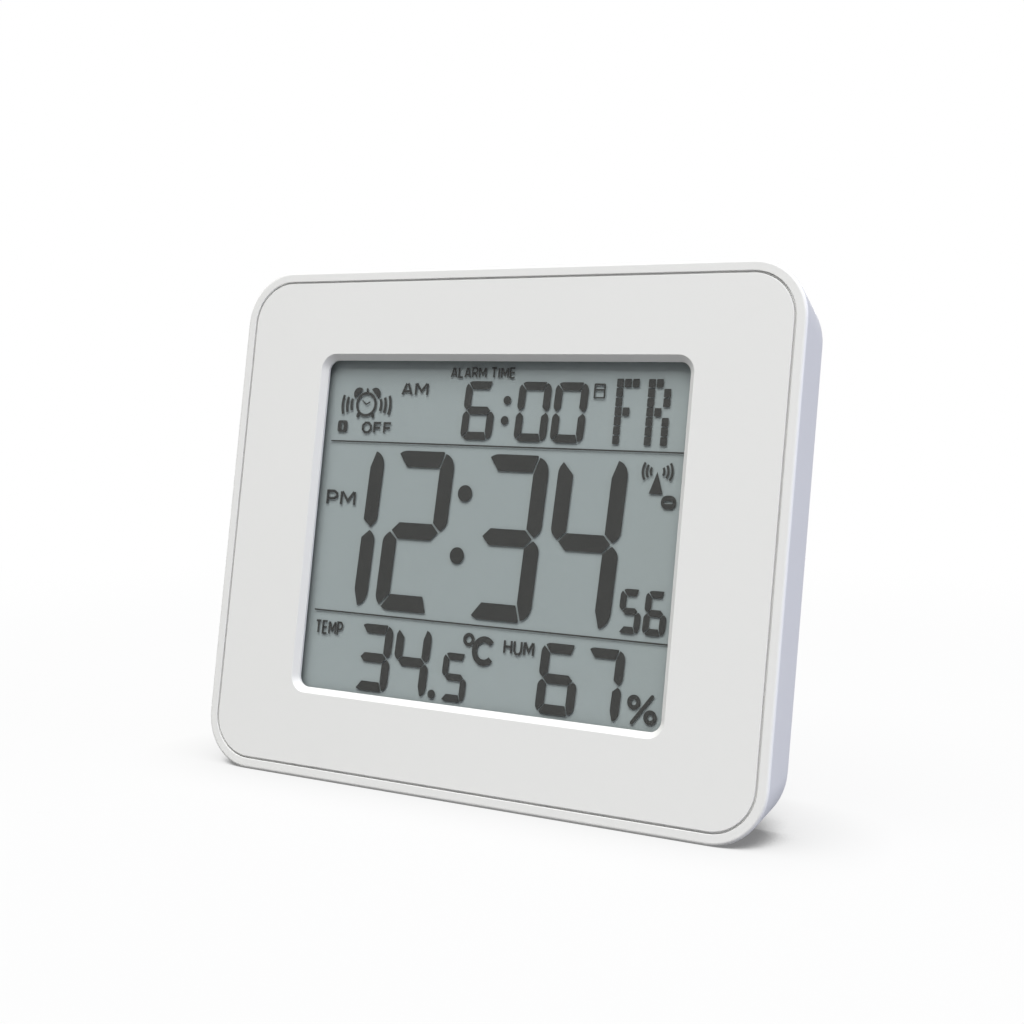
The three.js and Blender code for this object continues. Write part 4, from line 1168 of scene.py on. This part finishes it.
def unit_marks():
    """Degree ring, a capital C and a percent sign."""
    u, v = PERCENT_SIGN
    percent = [ring(u - 1.6, v + 1.1, 0.86, 0.76), ring(u + 1.6, v - 1.15, 0.86, 0.76)]
    percent.append(bar((u - 1.7, v - 2.3), (u + 1.7, v + 2.3), 0.66))
    return [ring(*DEGREE_RING, 0.88, 0.62), band(*DEGREE_LETTER, 2.05, 1.12, 40, 320, 0.95), *percent]


def plate(shape, mark, front, back, shift=0.0):
    """Adds a mark's closed lines as a flat plate between two depths, leaving its holes open."""
    near, far = [], []
    for line in mark:
        rings = [[shape.verts.new((u + shift, depth, v)) for u, v in line] for depth in (front, back)]
        for k in range(len(line)):
            shape.faces.new((rings[0][k - 1], rings[0][k], rings[1][k], rings[1][k - 1]))
        near += rings[0]
        far += rings[1]
    for corners in tessellate_polygon([[(u, v, 0) for u, v in line] for line in mark]):
        shape.faces.new([near[k] for k in corners])
        shape.faces.new([far[k] for k in corners])


def display_marks(material):
    """All the marks as thin plates of dark crystal between the two glasses."""
    shape = bmesh.new()
    marks = digit_marks() + [[circle(u, v, radius, 32)] for u, v, radius in DOTS]
    for level in DIVIDERS:
        marks.append(bar((-DIVIDER_HALF_LENGTH, level), (DIVIDER_HALF_LENGTH, level), DIVIDER_WIDTH))
    marks += word_marks() + alarm_sign() + radio_sign() + unit_marks()
    marks += [one_badge(), calendar_sign(), receive_badge()]
    for mark in marks:
        plate(shape, mark, MARK_FRONT, MARK_BACK, MARK_SHIFT)
    bmesh.ops.recalc_face_normals(shape, faces=shape.faces)
    return piece("display_marks", mesh_of(shape), material)


def display_sandwich(glass, film):
    """The cell as it is built up: the front glass, which holds the marks, and behind it the rear plate, which
    is backed with the grey film and stops short for the contacts."""
    whole = tile(GLASS_HALF_WIDTH, GLASS_HALF_HEIGHT, GLASS_CORNER, SMALL_STEPS)
    mesh = mesh_of(prism(whole, *GLASS_DEPTHS))
    piece("front_glass", mesh, glass, replaces=["lcd_cell"])
    ground = tile(GLASS_HALF_WIDTH, GLASS_HALF_HEIGHT - CONTACT_LEDGE, GLASS_CORNER, SMALL_STEPS)
    mesh = mesh_of(prism(ground, *FILM_DEPTHS))
    piece("rear_plate", mesh, film, replaces=["lcd_cell"])


# The weekday is set in small cells, two letters wide.
WEEKDAY_CELLS = [
    "###.##.",
    "#...#.#",
    "#...#.#",
    "##..##.",
    "#...#.#",
    "#...#.#",
    "#...#.#",
]
WEEKDAY_LEFT = 23.55
WEEKDAY_TOP = 27.2
CELL_PITCH = (1.5, 1.64)
CELL_HALF = (0.63, 0.72)
CELL_CORNER = 0.12


def weekday_marks(material):
    places = []
    for row, cells in enumerate(WEEKDAY_CELLS):
        for column, cell in enumerate(cells):
            if cell == "#":
                u = WEEKDAY_LEFT + column * CELL_PITCH[0] + MARK_SHIFT
                places.append((u, 0, WEEKDAY_TOP - row * CELL_PITCH[1]))
    outline = tile(*CELL_HALF, CELL_CORNER, SMALL_STEPS)
    mesh = copies(prism(outline, MARK_FRONT, MARK_BACK), places, material)
    return piece("weekday_marks", mesh, material)


def cover(material, *nodes):
    """Gives carried-over solids their finish."""
    for node in nodes:
        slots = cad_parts[node].data.materials
        slots.clear()
        slots.append(material)


# Battery door, with a grip of shallow grooves and an arrow that points out of the bay.
GRIP_PITCH = 1.8
GRIP_COUNT = 5
GRIP_START = 1.6
GRIP_HALF = (6.0, 0.45)
GRIP_DEPTH = 0.45
ARROW_HALF_WIDTH = 3.2
ARROW_HEIGHT = 4.2
ARROW_DEPTH = 0.3


def panel_mark(outline, surface, depth):
    """A cutter that sinks an outline into a surface that faces the back."""
    return prism(outline, surface - depth, surface + CUT_OVERSHOOT)


def door_moulding(material):
    def outline(inset):
        return door_outline(-FIT_GAP - inset)

    sheet = skin(*crowned(outline, DOOR_INNER, HUMP_REAR, DOOR_EDGE))
    bottom, top = BAY_BOTTOM - DOOR_LEDGE + FIT_GAP, BAY_TOP + DOOR_LEDGE - FIT_GAP
    front, back = DOOR_INNER - HOOK_THICKNESS, DOOR_INNER + OVERLAP
    hooks = []
    for side in SIDES:
        left = side * HOOK_PLACE - HOOK_WIDTH / 2
        hooks.append(block(left, left + HOOK_WIDTH, front, back, bottom - HOOK_REACH, bottom + HOOK_ROOT))
    grip = tile(*GRIP_HALF, GRIP_HALF[1] * ROUND_END, END_STEPS)
    places = [(0, 0, top - GRIP_PITCH * (k + GRIP_START)) for k in range(GRIP_COUNT)]
    grooves = shape_of(copies(panel_mark(grip, HUMP_REAR, GRIP_DEPTH), places, material))
    tip = top - GRIP_PITCH * (GRIP_COUNT + 2)
    foot = tip - ARROW_HEIGHT
    arrow = [(-ARROW_HALF_WIDTH, foot), (ARROW_HALF_WIDTH, foot), (0, tip)]
    mesh = worked(
        sheet,
        ("UNION", together(*hooks)),
        ("DIFFERENCE", grooves),
        ("DIFFERENCE", panel_mark(arrow, HUMP_REAR, ARROW_DEPTH)),
    )
    piece("door_moulding", mesh, material, "door", ["battery_door"])


# Controls.
MARK_DEPTH = 0.4


def button_marks():
    """What is sunk into each button: a dial, a bell, arrows up and down, and waves."""
    dial = [ring(0, 0, 1.375, 0.35), bar((0, 0), (0, 0.85), 0.3), bar((0, 0), (0.55, 0), 0.3)]
    bell = [[shifted(dome(1.3, 0), 0, -0.4)]]
    bell += [bar((-1.6, -0.75), (1.6, -0.75), 0.35), bar((0, -1.3), (0, -1.25), 0.6)]
    rise = [(-1.5, -0.9), (1.5, -0.9), (0, 1.2)]
    fall = [(u, -v) for u, v in rise]
    spread = [[circle(0, 0, 0.4, 24)]] + waves(0, 0, (1.1, 1.8), 0.35, 40)
    return {"time_set": dial, "alarm_set": bell, "up": [[rise]], "down": [[fall]], "receive": spread}


def mark_cutter(mark, surface):
    """A cutter for a mark that may have a hole, sunk into a surface that faces the back."""
    cutter = bmesh.new()
    plate(cutter, mark, surface - MARK_DEPTH, surface - MARK_DEPTH + CUT_OVERSHOOT)
    bmesh.ops.recalc_face_normals(cutter, faces=cutter.faces)
    return cutter


def push_buttons(material):
    top, foot = BACK_OUTER + BUTTON_PROUD, FLANGE_FRONT + OVERLAP
    rim = tile(BUTTON_HALF_WIDTH + FLANGE_LIP, BUTTON_HALF_HEIGHT + FLANGE_LIP, BUTTON_CORNER)

    def outline(inset):
        return button_outline(-inset)

    for name, marks in button_marks().items():
        mesh = worked(
            skin(*crowned(outline, foot, top, BUTTON_EDGE)),
            ("UNION", prism(rim, FLANGE_FRONT, FLANGE_BACK)),
            ("UNION", peg(0, 0, STEM_RADIUS, STEM_TIP, foot)),
            *[("DIFFERENCE", mark_cutter(mark, top)) for mark in marks],
        )
        mesh.transform(Matrix.Translation((BUTTON_PLACES[name], 0, BUTTON_ROW)))
        piece(name + "_cap", mesh, material, name, [name + "_button"])


def alarm_slider(material):
    """The alarm knob: a block with finger ridges on a flange, with a pin into its switch."""
    top, foot = BACK_OUTER + KNOB_PROUD, FLANGE_FRONT + OVERLAP

    def outline(inset):
        return tile(KNOB_HALF_WIDTH - inset, KNOB_HALF_HEIGHT - inset, KNOB_CORNER - inset)

    reach = KNOB_HALF_WIDTH + KNOB_TRAVEL + FIT_GAP
    lip = KNOB_HALF_HEIGHT + FLANGE_LIP
    half_width, corner = KNOB_GROOVE
    groove = tile(half_width, KNOB_HALF_HEIGHT + CUT_OVERSHOOT, corner, SMALL_STEPS)
    places = [(k * KNOB_GROOVE_PITCH, 0, 0) for k in (-1, 0, 1)]
    mesh = worked(
        skin(*crowned(outline, foot, top, KNOB_EDGE)),
        ("UNION", block(-reach, reach, FLANGE_FRONT, FLANGE_BACK, -lip, lip)),
        ("UNION", peg(0, 0, KNOB_HALF_HEIGHT / 2, KNOB_PIN_TIP, foot)),
        ("DIFFERENCE", shape_of(copies(panel_mark(groove, top, KNOB_GROOVE_DEPTH), places, material))),
    )
    mesh.transform(Matrix.Translation((KNOB_PLACE - KNOB_TRAVEL / 2, 0, LOWER_ROW)))
    piece("alarm_slider", mesh, material, "alarm_switch", ["alarm_knob"])


def snooze_cap(material):
    """The snooze bar: its top follows the drafted wall, its edges are round, and it stands on a flange."""
    def outline(inset):
        return snooze_outline(-inset)

    cap = standing(*crowned(outline, -SNOOZE_SKIRT, 0, SNOOZE_EDGE))
    for vert in cap.verts:
        vert.co.z += CASE_HALF_HEIGHT + SNOOZE_PROUD - draft_at(vert.co.y)
    plan = snooze_outline(FLANGE_LIP)
    lip = standing(*[(height, plan) for height in SNOOZE_FLANGE])
    stem_top = SNOOZE_FLANGE[0] + OVERLAP
    stem = block(-SNOOZE_STEM, SNOOZE_STEM, *SNOOZE_STEM_DEPTH, SNOOZE_STEM_TIP, stem_top)
    mesh = worked(cap, ("UNION", lip), ("UNION", stem))
    piece("snooze_cap", mesh, material, "snooze", ["snooze_bar"])


# Screws, cells, springs, windings and leads.
# Shares of a screw's own radius and height, and the chamfer under its head.
HEAD_SEAT = 0.97
HEAD_RIM = 0.4
HEAD_FLAT = 0.6
RECESS_ARM = 0.58
RECESS_WIDTH = 0.13
RECESS_DEPTH = 0.8 / CASE_HEAD_HEIGHT
SHANK_TIP = 0.6
SEAT_CHAMFER = 0.1


def turned_along_w(profile):
    """A round piece on the w line; each profile point is a depth and a radius."""
    return skin(*[(depth, circle(0, 0, radius)) for depth, radius in profile])


def screw_shape(head_radius, head_height, shank_radius, seat):
    """A pan-head screw with a cross recess."""
    chamfer, rim, top = seat + SEAT_CHAMFER, seat + head_height * HEAD_RIM, seat + head_height
    head = [(seat, head_radius * HEAD_SEAT), (chamfer, head_radius), (rim, head_radius)]
    for step in range(1, EDGE_STEPS + 1):
        turn = math.pi / 2 * step / EDGE_STEPS
        radius = head_radius * (HEAD_FLAT + (1 - HEAD_FLAT) * math.cos(turn))
        head.append((rim + (top - rim) * math.sin(turn), radius))
    shank = [(SCREW_TIP, shank_radius * SHANK_TIP), (SCREW_TIP + shank_radius, shank_radius)]
    shank.append((chamfer, shank_radius))
    arm, width = head_radius * RECESS_ARM, head_radius * RECESS_WIDTH
    floor, above = top - RECESS_DEPTH * head_height, top + CUT_OVERSHOOT
    mesh = worked(
        turned_along_w(head),
        ("UNION", turned_along_w(shank)),
        ("DIFFERENCE", block(-arm, arm, floor, above, -width, width)),
        ("DIFFERENCE", block(-width, width, floor, above, -arm, arm)),
    )
    return shape_of(mesh)


def screws(name, shape, places, material, nodes):
    mesh = copies(shape, [(u, 0, v) for u, v in places], material)
    piece(name, mesh, material, replaces=[f"{nodes}_{k + 1}" for k in range(len(places))])


def cell_mesh(side, height):
    """A cell with rolled rims, an insulating ring about the positive end and a domed nub."""
    radius, rim, sink, shoulder = CELL_RADIUS, CELL_RIM, CELL_END_SINK, CELL_LENGTH - NUB_LENGTH
    profile = [(sink, radius - 2.4), (sink, radius - 1.2), (0, radius - 1.0)]
    profile += [(along, radius - inset) for along, inset in lead_in(rim)]
    jacket_start = len(profile)
    profile += [(rim + 0.1, radius - 0.1), (rim + 0.3, radius)]
    profile += [(shoulder + along, radius - inset) for along, inset in round_edge(rim)]
    jacket_end = len(profile)
    profile += [(shoulder - sink, radius - 1.5), (shoulder - sink, NUB_RADIUS + 0.4), (shoulder, NUB_RADIUS)]
    profile += [(CELL_LENGTH - 0.4, NUB_RADIUS), (CELL_LENGTH - 0.1, NUB_RADIUS - 0.3)]
    profile += [(CELL_LENGTH, NUB_RADIUS - 1)]
    line = [(side * (along - CELL_START), around) for along, around in profile]
    shape = turned_along_u(line, CELL_DEPTH, height, CELL_STEPS)
    bare = shape.verts.layers.float.new("bare_end")
    shape.verts.ensure_lookup_table()
    for k, vert in enumerate(shape.verts):
        vert[bare] = 0.0 if jacket_start <= k // CELL_STEPS < jacket_end else 1.0
    return mesh_of(shape)


def wound(turns, radius, rise, wire, material, steps=36):
    """A helix of round wire, laid along u and centred on it."""
    values = {
        "Turns": turns,
        "Radius": radius,
        "Rise": rise,
        "Wire": wire / 2,
        "Steps": steps,
        "Material": material,
    }
    mesh = grown(bmesh.new(), COIL, values)
    mesh.transform(Matrix.Rotation(math.pi / 2, 4, "Y") @ Matrix.Translation((0, 0, -rise / 2)))
    return shape_of(mesh)


def springs(material):
    for name, side, height in (("bridge", -1, CELL_LOWER), ("negative", 1, CELL_UPPER)):
        turns = SPRING_RISE / SPRING_PITCH
        shape = wound(turns, SPRING_RADIUS, SPRING_RISE, SPRING_WIRE, material)
        middle = side * (SPRING_START - SPRING_RISE / 2)
        shape.transform(Matrix.Translation((middle, CELL_DEPTH, height)))
        piece(name + "_coil", mesh_of(shape), material, replaces=[name + "_spring"])


def antenna_winding(material):
    """One layer of enamelled wire on a thin paper tube, with a tape collar at each end."""
    half, bore = COIL_LENGTH / 2, ANTENNA_RADIUS + LAY_GAP
    outer = bore + COIL_WALL
    layer = outer - COIL_WIRE / 2
    length = COIL_LENGTH - 2 * (COLLAR_WIDTH + COLLAR_GAP)
    wire = wound(length / COIL_WIRE, layer, length, COIL_WIRE * WIRE_SHARE, material, steps=20)
    wire.transform(Matrix.Translation((0, ANTENNA_DEPTH, ANTENNA_HEIGHT)))
    collar = half - COLLAR_WIDTH
    right = [(collar, layer), (collar, outer), (half, outer)]
    tube = [(-along, radius) for along, radius in reversed(right)] + right
    through = [(-half - CUT_OVERSHOOT, bore), (half + CUT_OVERSHOOT, bore)]
    sleeve = worked(
        turned_along_u(tube, ANTENNA_DEPTH, ANTENNA_HEIGHT),
        ("DIFFERENCE", turned_along_u(through, ANTENNA_DEPTH, ANTENNA_HEIGHT)),
    )
    mesh = mesh_of(together(shape_of(sleeve), wire))
    piece("antenna_winding", mesh, material, replaces=["antenna_coil"])


LEAD_DEPTH = 8.35
LEAD_RADIUS = 0.5
LEAD_START = 29.0
LEAD_END = 35.5
LEAD_RISE = 2.925
LEAD_BEND = (32.2, 0.2)


def lead_mesh(height):
    """An insulated lead that leaves its contact level and bends up to the board."""
    start, end = (LEAD_START, height), (LEAD_END, height + LEAD_RISE)
    path = [start] + bend(start, (LEAD_BEND[0], height + LEAD_BEND[1]), end, steps=24)
    shape = bmesh.new()
    rings = []
    for k, (u, v) in enumerate(path):
        before, after = path[max(k - 1, 0)], path[min(k + 1, len(path) - 1)]
        along = Vector((after[0] - before[0], after[1] - before[1])).normalized()
        loop = circle(0, 0, LEAD_RADIUS, 16)
        rings.append([shape.verts.new((u - along.y * x, LEAD_DEPTH + y, v + along.x * x)) for x, y in loop])
    return mesh_of(close_rings(shape, rings))


# The stage: camera, lamps, floor and background.
CAMERA_OFFSET = (150.0, -240.9, 32.1)
CAMERA_YAW = math.radians(30.784)
CAMERA_PITCH = math.radians(5.733)
CAMERA_FIELD = math.radians(35.0)
# Each lamp's place and size in metres, its watts and its colour: a large soft key above the camera's side of
# the face, a cool fill in line with the face and a low lamp behind that keeps the back readable.
LAMPS = {
    "key softbox": ((0, -2.46, 5.57), (7.0, 4.0), 557.0, "#fffffd"),
    "side softbox": ((1.2, 0.06, 0.4), (0.8, 0.8), 8.2, "#dce2ff"),
    "back softbox": ((-1.5, 2.7, 0.35), (1.6, 0.8), 26.0, "#ffffff"),
}
LAMP_AIM = (0, 0, 0.047)
ROOM_LIGHT = 0.22


def set_camera():
    lens = bpy.data.cameras.new("camera")
    lens.sensor_width = 36.0
    lens.angle = CAMERA_FIELD
    lens.clip_start = 0.01
    lens.clip_end = 20.0
    camera = put("camera", lens)
    camera.location = FACE.translation + Vector(CAMERA_OFFSET) * MM
    level = math.cos(CAMERA_PITCH)
    forward = (-math.sin(CAMERA_YAW) * level, math.cos(CAMERA_YAW) * level, -math.sin(CAMERA_PITCH))
    camera.rotation_euler = Vector(forward).to_track_quat("-Z", "Y").to_euler()
    bpy.context.scene.camera = camera


def softbox(name, place, size, watts, colour):
    lamp = bpy.data.lights.new(name, "AREA")
    lamp.shape = "RECTANGLE"
    lamp.size, lamp.size_y = size
    lamp.energy = watts
    lamp.color = linear(colour)[:3]
    holder = put(name, lamp)
    holder.location = place
    holder.rotation_euler = (Vector(LAMP_AIM) - Vector(place)).to_track_quat("-Z", "Y").to_euler()


def set_light():
    """The lamps, and a room that is white to the camera and lights the object faintly."""
    for name, (place, size, watts, colour) in LAMPS.items():
        softbox(name, place, size, watts, colour)
    world = bpy.data.worlds.new("studio")
    bpy.context.scene.world = world
    tree = empty_tree(world)
    seen = add(tree, "ShaderNodeLightPath").outputs["Is Camera Ray"]
    room = add(tree, "ShaderNodeBackground", {"Color": linear("#ffffff"), "Strength": ROOM_LIGHT})
    white = add(tree, "ShaderNodeBackground", {"Color": linear("#ffffff"), "Strength": 1.0})
    choice = add(tree, "ShaderNodeMixShader", {0: seen, 1: room.outputs[0], 2: white.outputs[0]})
    add(tree, "ShaderNodeOutputWorld", {"Surface": choice.outputs[0]})


FLOOR_HALF = 3.0
FLOOR_FADE = (0.16, 0.34)
FLOOR_SHADE = 0.1
# How far, and tilted to which side, the painted contact shadow looks for pieces over the floor.
PAINTED_SHADOW_REACH = 0.02
PAINTED_SHADOW_TILT = math.radians(20)
# Painted contact shadow: how bright the floor is by the share of it that lies open, from and to, and the
# brightness at each. The core is the painted dark line of contact and the rest its soft painted surround.
PAINTED_SHADOW_CORE = (0.35, 0.66, 0.22, 0.88)
PAINTED_SHADOW_REST = (0.66, 1.0, 0.0, 0.125)


def set_floor():
    """A pale board. Seen by the camera it is white, keeps a light share of the cast shadow, darkens with a
    painted contact shadow where a piece stands close over it, and runs out into the white background."""
    shape = bmesh.new()
    corners = [(x * FLOOR_HALF, y * FLOOR_HALF, 0) for x, y in ((-1, -1), (1, -1), (1, 1), (-1, 1))]
    shape.faces.new([shape.verts.new(corner) for corner in corners])
    floor = holder_of(shape)
    floor.name = "floor"
    material = bpy.data.materials.new("matt_painted_board")
    tree = empty_tree(material)
    by_camera = add(tree, "ShaderNodeLightPath").outputs["Is Camera Ray"]
    board = add(tree, "ShaderNodeBsdfDiffuse", {"Color": linear("#8c8c8c")})
    paint = add(tree, "ShaderNodeBsdfDiffuse", {"Color": linear("#c4c4c4")})
    forward = {1: -math.sin(PAINTED_SHADOW_TILT), 2: math.cos(PAINTED_SHADOW_TILT)}
    lean = add(tree, "ShaderNodeCombineXYZ", forward).outputs[0]
    # Painted contact shadow: the share of the floor that pieces close above it hide sets the glow that the
    # camera sees.
    shadow_occlusion = add(tree, "ShaderNodeAmbientOcclusion", {"Distance": PAINTED_SHADOW_REACH, "Normal": lean}, samples=16)
    inputs = dict(enumerate((shadow_occlusion.outputs["AO"], *PAINTED_SHADOW_CORE)))
    core = add(tree, "ShaderNodeMapRange", inputs, interpolation_type="SMOOTHSTEP")
    inputs = dict(enumerate((shadow_occlusion.outputs["AO"], *PAINTED_SHADOW_REST)))
    painted_surround = add(tree, "ShaderNodeMapRange", inputs)
    painted_shadow = add(tree, "ShaderNodeMath", {0: core.outputs[0], 1: painted_surround.outputs[0]}, operation="ADD")
    shadowed_glow = add(tree, "ShaderNodeEmission", {"Color": linear("#ffffff"), "Strength": painted_shadow.outputs[0]})
    near = add(tree, "ShaderNodeMixShader", {0: FLOOR_SHADE, 1: shadowed_glow.outputs[0], 2: paint.outputs[0]})
    white = add(tree, "ShaderNodeEmission", {"Color": linear("#ffffff"), "Strength": 1.0})
    place = add(tree, "ShaderNodeTexCoord")
    far = add(tree, "ShaderNodeVectorMath", {0: place.outputs["Object"]}, operation="LENGTH")
    inputs = {0: far.outputs["Value"], 1: FLOOR_FADE[0], 2: FLOOR_FADE[1]}
    fade = add(tree, "ShaderNodeMapRange", inputs, interpolation_type="SMOOTHSTEP")
    seen = add(tree, "ShaderNodeMixShader", {0: fade.outputs[0], 1: near.outputs[0], 2: white.outputs[0]})
    both = add(tree, "ShaderNodeMixShader", {0: by_camera, 1: board.outputs[0], 2: seen.outputs[0]})
    add(tree, "ShaderNodeOutputMaterial", {"Surface": both.outputs[0]})
    floor.data.materials.append(material)


set_camera()
set_light()
set_floor()
bpy.context.scene.view_settings.view_transform = "Standard"

# Injection-moulded ABS: an even white with the tool's fine spark grain, which gives a soft satin sheen.
white_abs = stock("spark_grained_white_abs", ("#e3e3e2", "#e6e6e5"), 45, 0.35, 0.48, 0.012, IOR=1.53)
# The same plastic, tinted pale grey, polished a little smoother where fingers press.
pale_abs = stock("moulded_pale_grey_abs", ("#d7d8da", "#dbdcde"), 20, 0.3, 0.42, 0.008, IOR=1.53)
# Darker grey plastic of the slide knob, worn slightly glossy.
grey_abs = stock("moulded_mid_grey_abs", ("#868b91", "#8e9399"), 12, 0.25, 0.4, 0.008, IOR=1.53)
# Inner moulding with flow lines and no grain, as it leaves a plain tool.
plain_abs = stock("as_moulded_abs", ("#d2d4d6", "#dcdddf"), 25, 1.5, 0.36, IOR=1.53)
# White ceramic cap of the sensor, chalky.
ceramic = stock("fired_ceramic", ("#dedfdd", "#e8e8e6"), 2, 0.2, 0.7, 0.01)
# Black epoxy, poured or moulded: deep and fairly glossy, with faint flow.
resin = stock("cast_black_epoxy", ("#232528", "#2a2c2f"), 6, 0.5, 0.34, 0.01, IOR=1.55)
# Bright nickel on stamped or drawn steel: light metal with fine rolling marks in its gloss.
steel = stock("nickel_plated_steel", ("#bfc1c4", "#c8cacd"), 4, 0.4, 0.28, 0.004, Metallic=1.0)
# Pressed and fired iron oxide: near black, dull and a little pitted.
ferrite = stock("sintered_ferrite", ("#353537", "#3f3f41"), 3, 0.3, 0.68, 0.03)
# Copper wire under clear enamel: warm metal with a glossy skin.
enamelled = stock("enamelled_copper_wire", ("#a9692f", "#b87a44"), 3, 0.4, 0.3, Metallic=0.85)
# Soft red and black insulation, drawn over the wire: slightly waxy.
red_vinyl = stock("extruded_red_vinyl", ("#ab231b", "#b82a22"), 4, 0.3, 0.42)
black_vinyl = stock("extruded_black_vinyl", ("#232427", "#2b2c2f"), 4, 0.3, 0.42)
# Matt film behind the glass: even grey-green with a pearly mottle, drawn coarser than the real flake to show.
film = stock("matt_reflector_film", ("#959fa0", "#9ba5a6"), 0.33, 0.33, 0.62, IOR=1.5)
# Liquid crystal switched dark between its glasses: a soft near-black.
crystal = stock("switched_liquid_crystal", ("#262624", "#2b2b29"), 3, 1.0, 0.55, IOR=1.5)
rubber, board, jacket = layered_rubber(), solder_mask(), cell_finish()

case_moulding(white_abs)
face_moulding(white_abs)
display_sandwich(display_glass(), film)
display_marks(crystal)
weekday_marks(crystal)
door_moulding(white_abs)
push_buttons(pale_abs)
alarm_slider(grey_abs)
snooze_cap(pale_abs)
case_seat = BACK_OUTER - CASE_HEAD_SINK + LAY_GAP
case_screw = screw_shape(CASE_HEAD_RADIUS, CASE_HEAD_HEIGHT, CASE_SCREW_RADIUS, case_seat)
screws("case_fasteners", case_screw, CASE_BOSSES, steel, "case_screw")
board_screw = screw_shape(BOARD_HEAD_RADIUS, BOARD_HEAD_HEIGHT, BOARD_SCREW_RADIUS, BOARD_BACK)
screws("board_fasteners", board_screw, BOARD_BOSSES, steel, "board_screw")
piece("lower_cell", cell_mesh(1, CELL_LOWER), jacket, replaces=["battery_lower"])
piece("upper_cell", cell_mesh(-1, CELL_UPPER), jacket, replaces=["battery_upper"])
springs(steel)
antenna_winding(enamelled)
piece("red_wire", lead_mesh(CELL_LOWER), red_vinyl, replaces=["positive_lead"])
piece("black_wire", lead_mesh(CELL_UPPER), black_vinyl, replaces=["negative_lead"])

cover(clear_acrylic(), "display_lens")
cover(film, "lcd_reflector")
cover(plain_abs, "lcd_retainer")
cover(rubber, "contact_strip_upper", "contact_strip_lower")
cover(board, "main_board")
cover(resin, "controller_blob", "receiver_chip", "buzzer", "snooze_switch")
cover(ceramic, "humidity_sensor")
cover(ferrite, "antenna_rod")
cover(steel, "quartz_crystal", "alarm_switch_body", "bridge_contact", "positive_contact", "negative_contact")
cover(steel, *[name + "_switch" for name in BUTTON_PLACES])
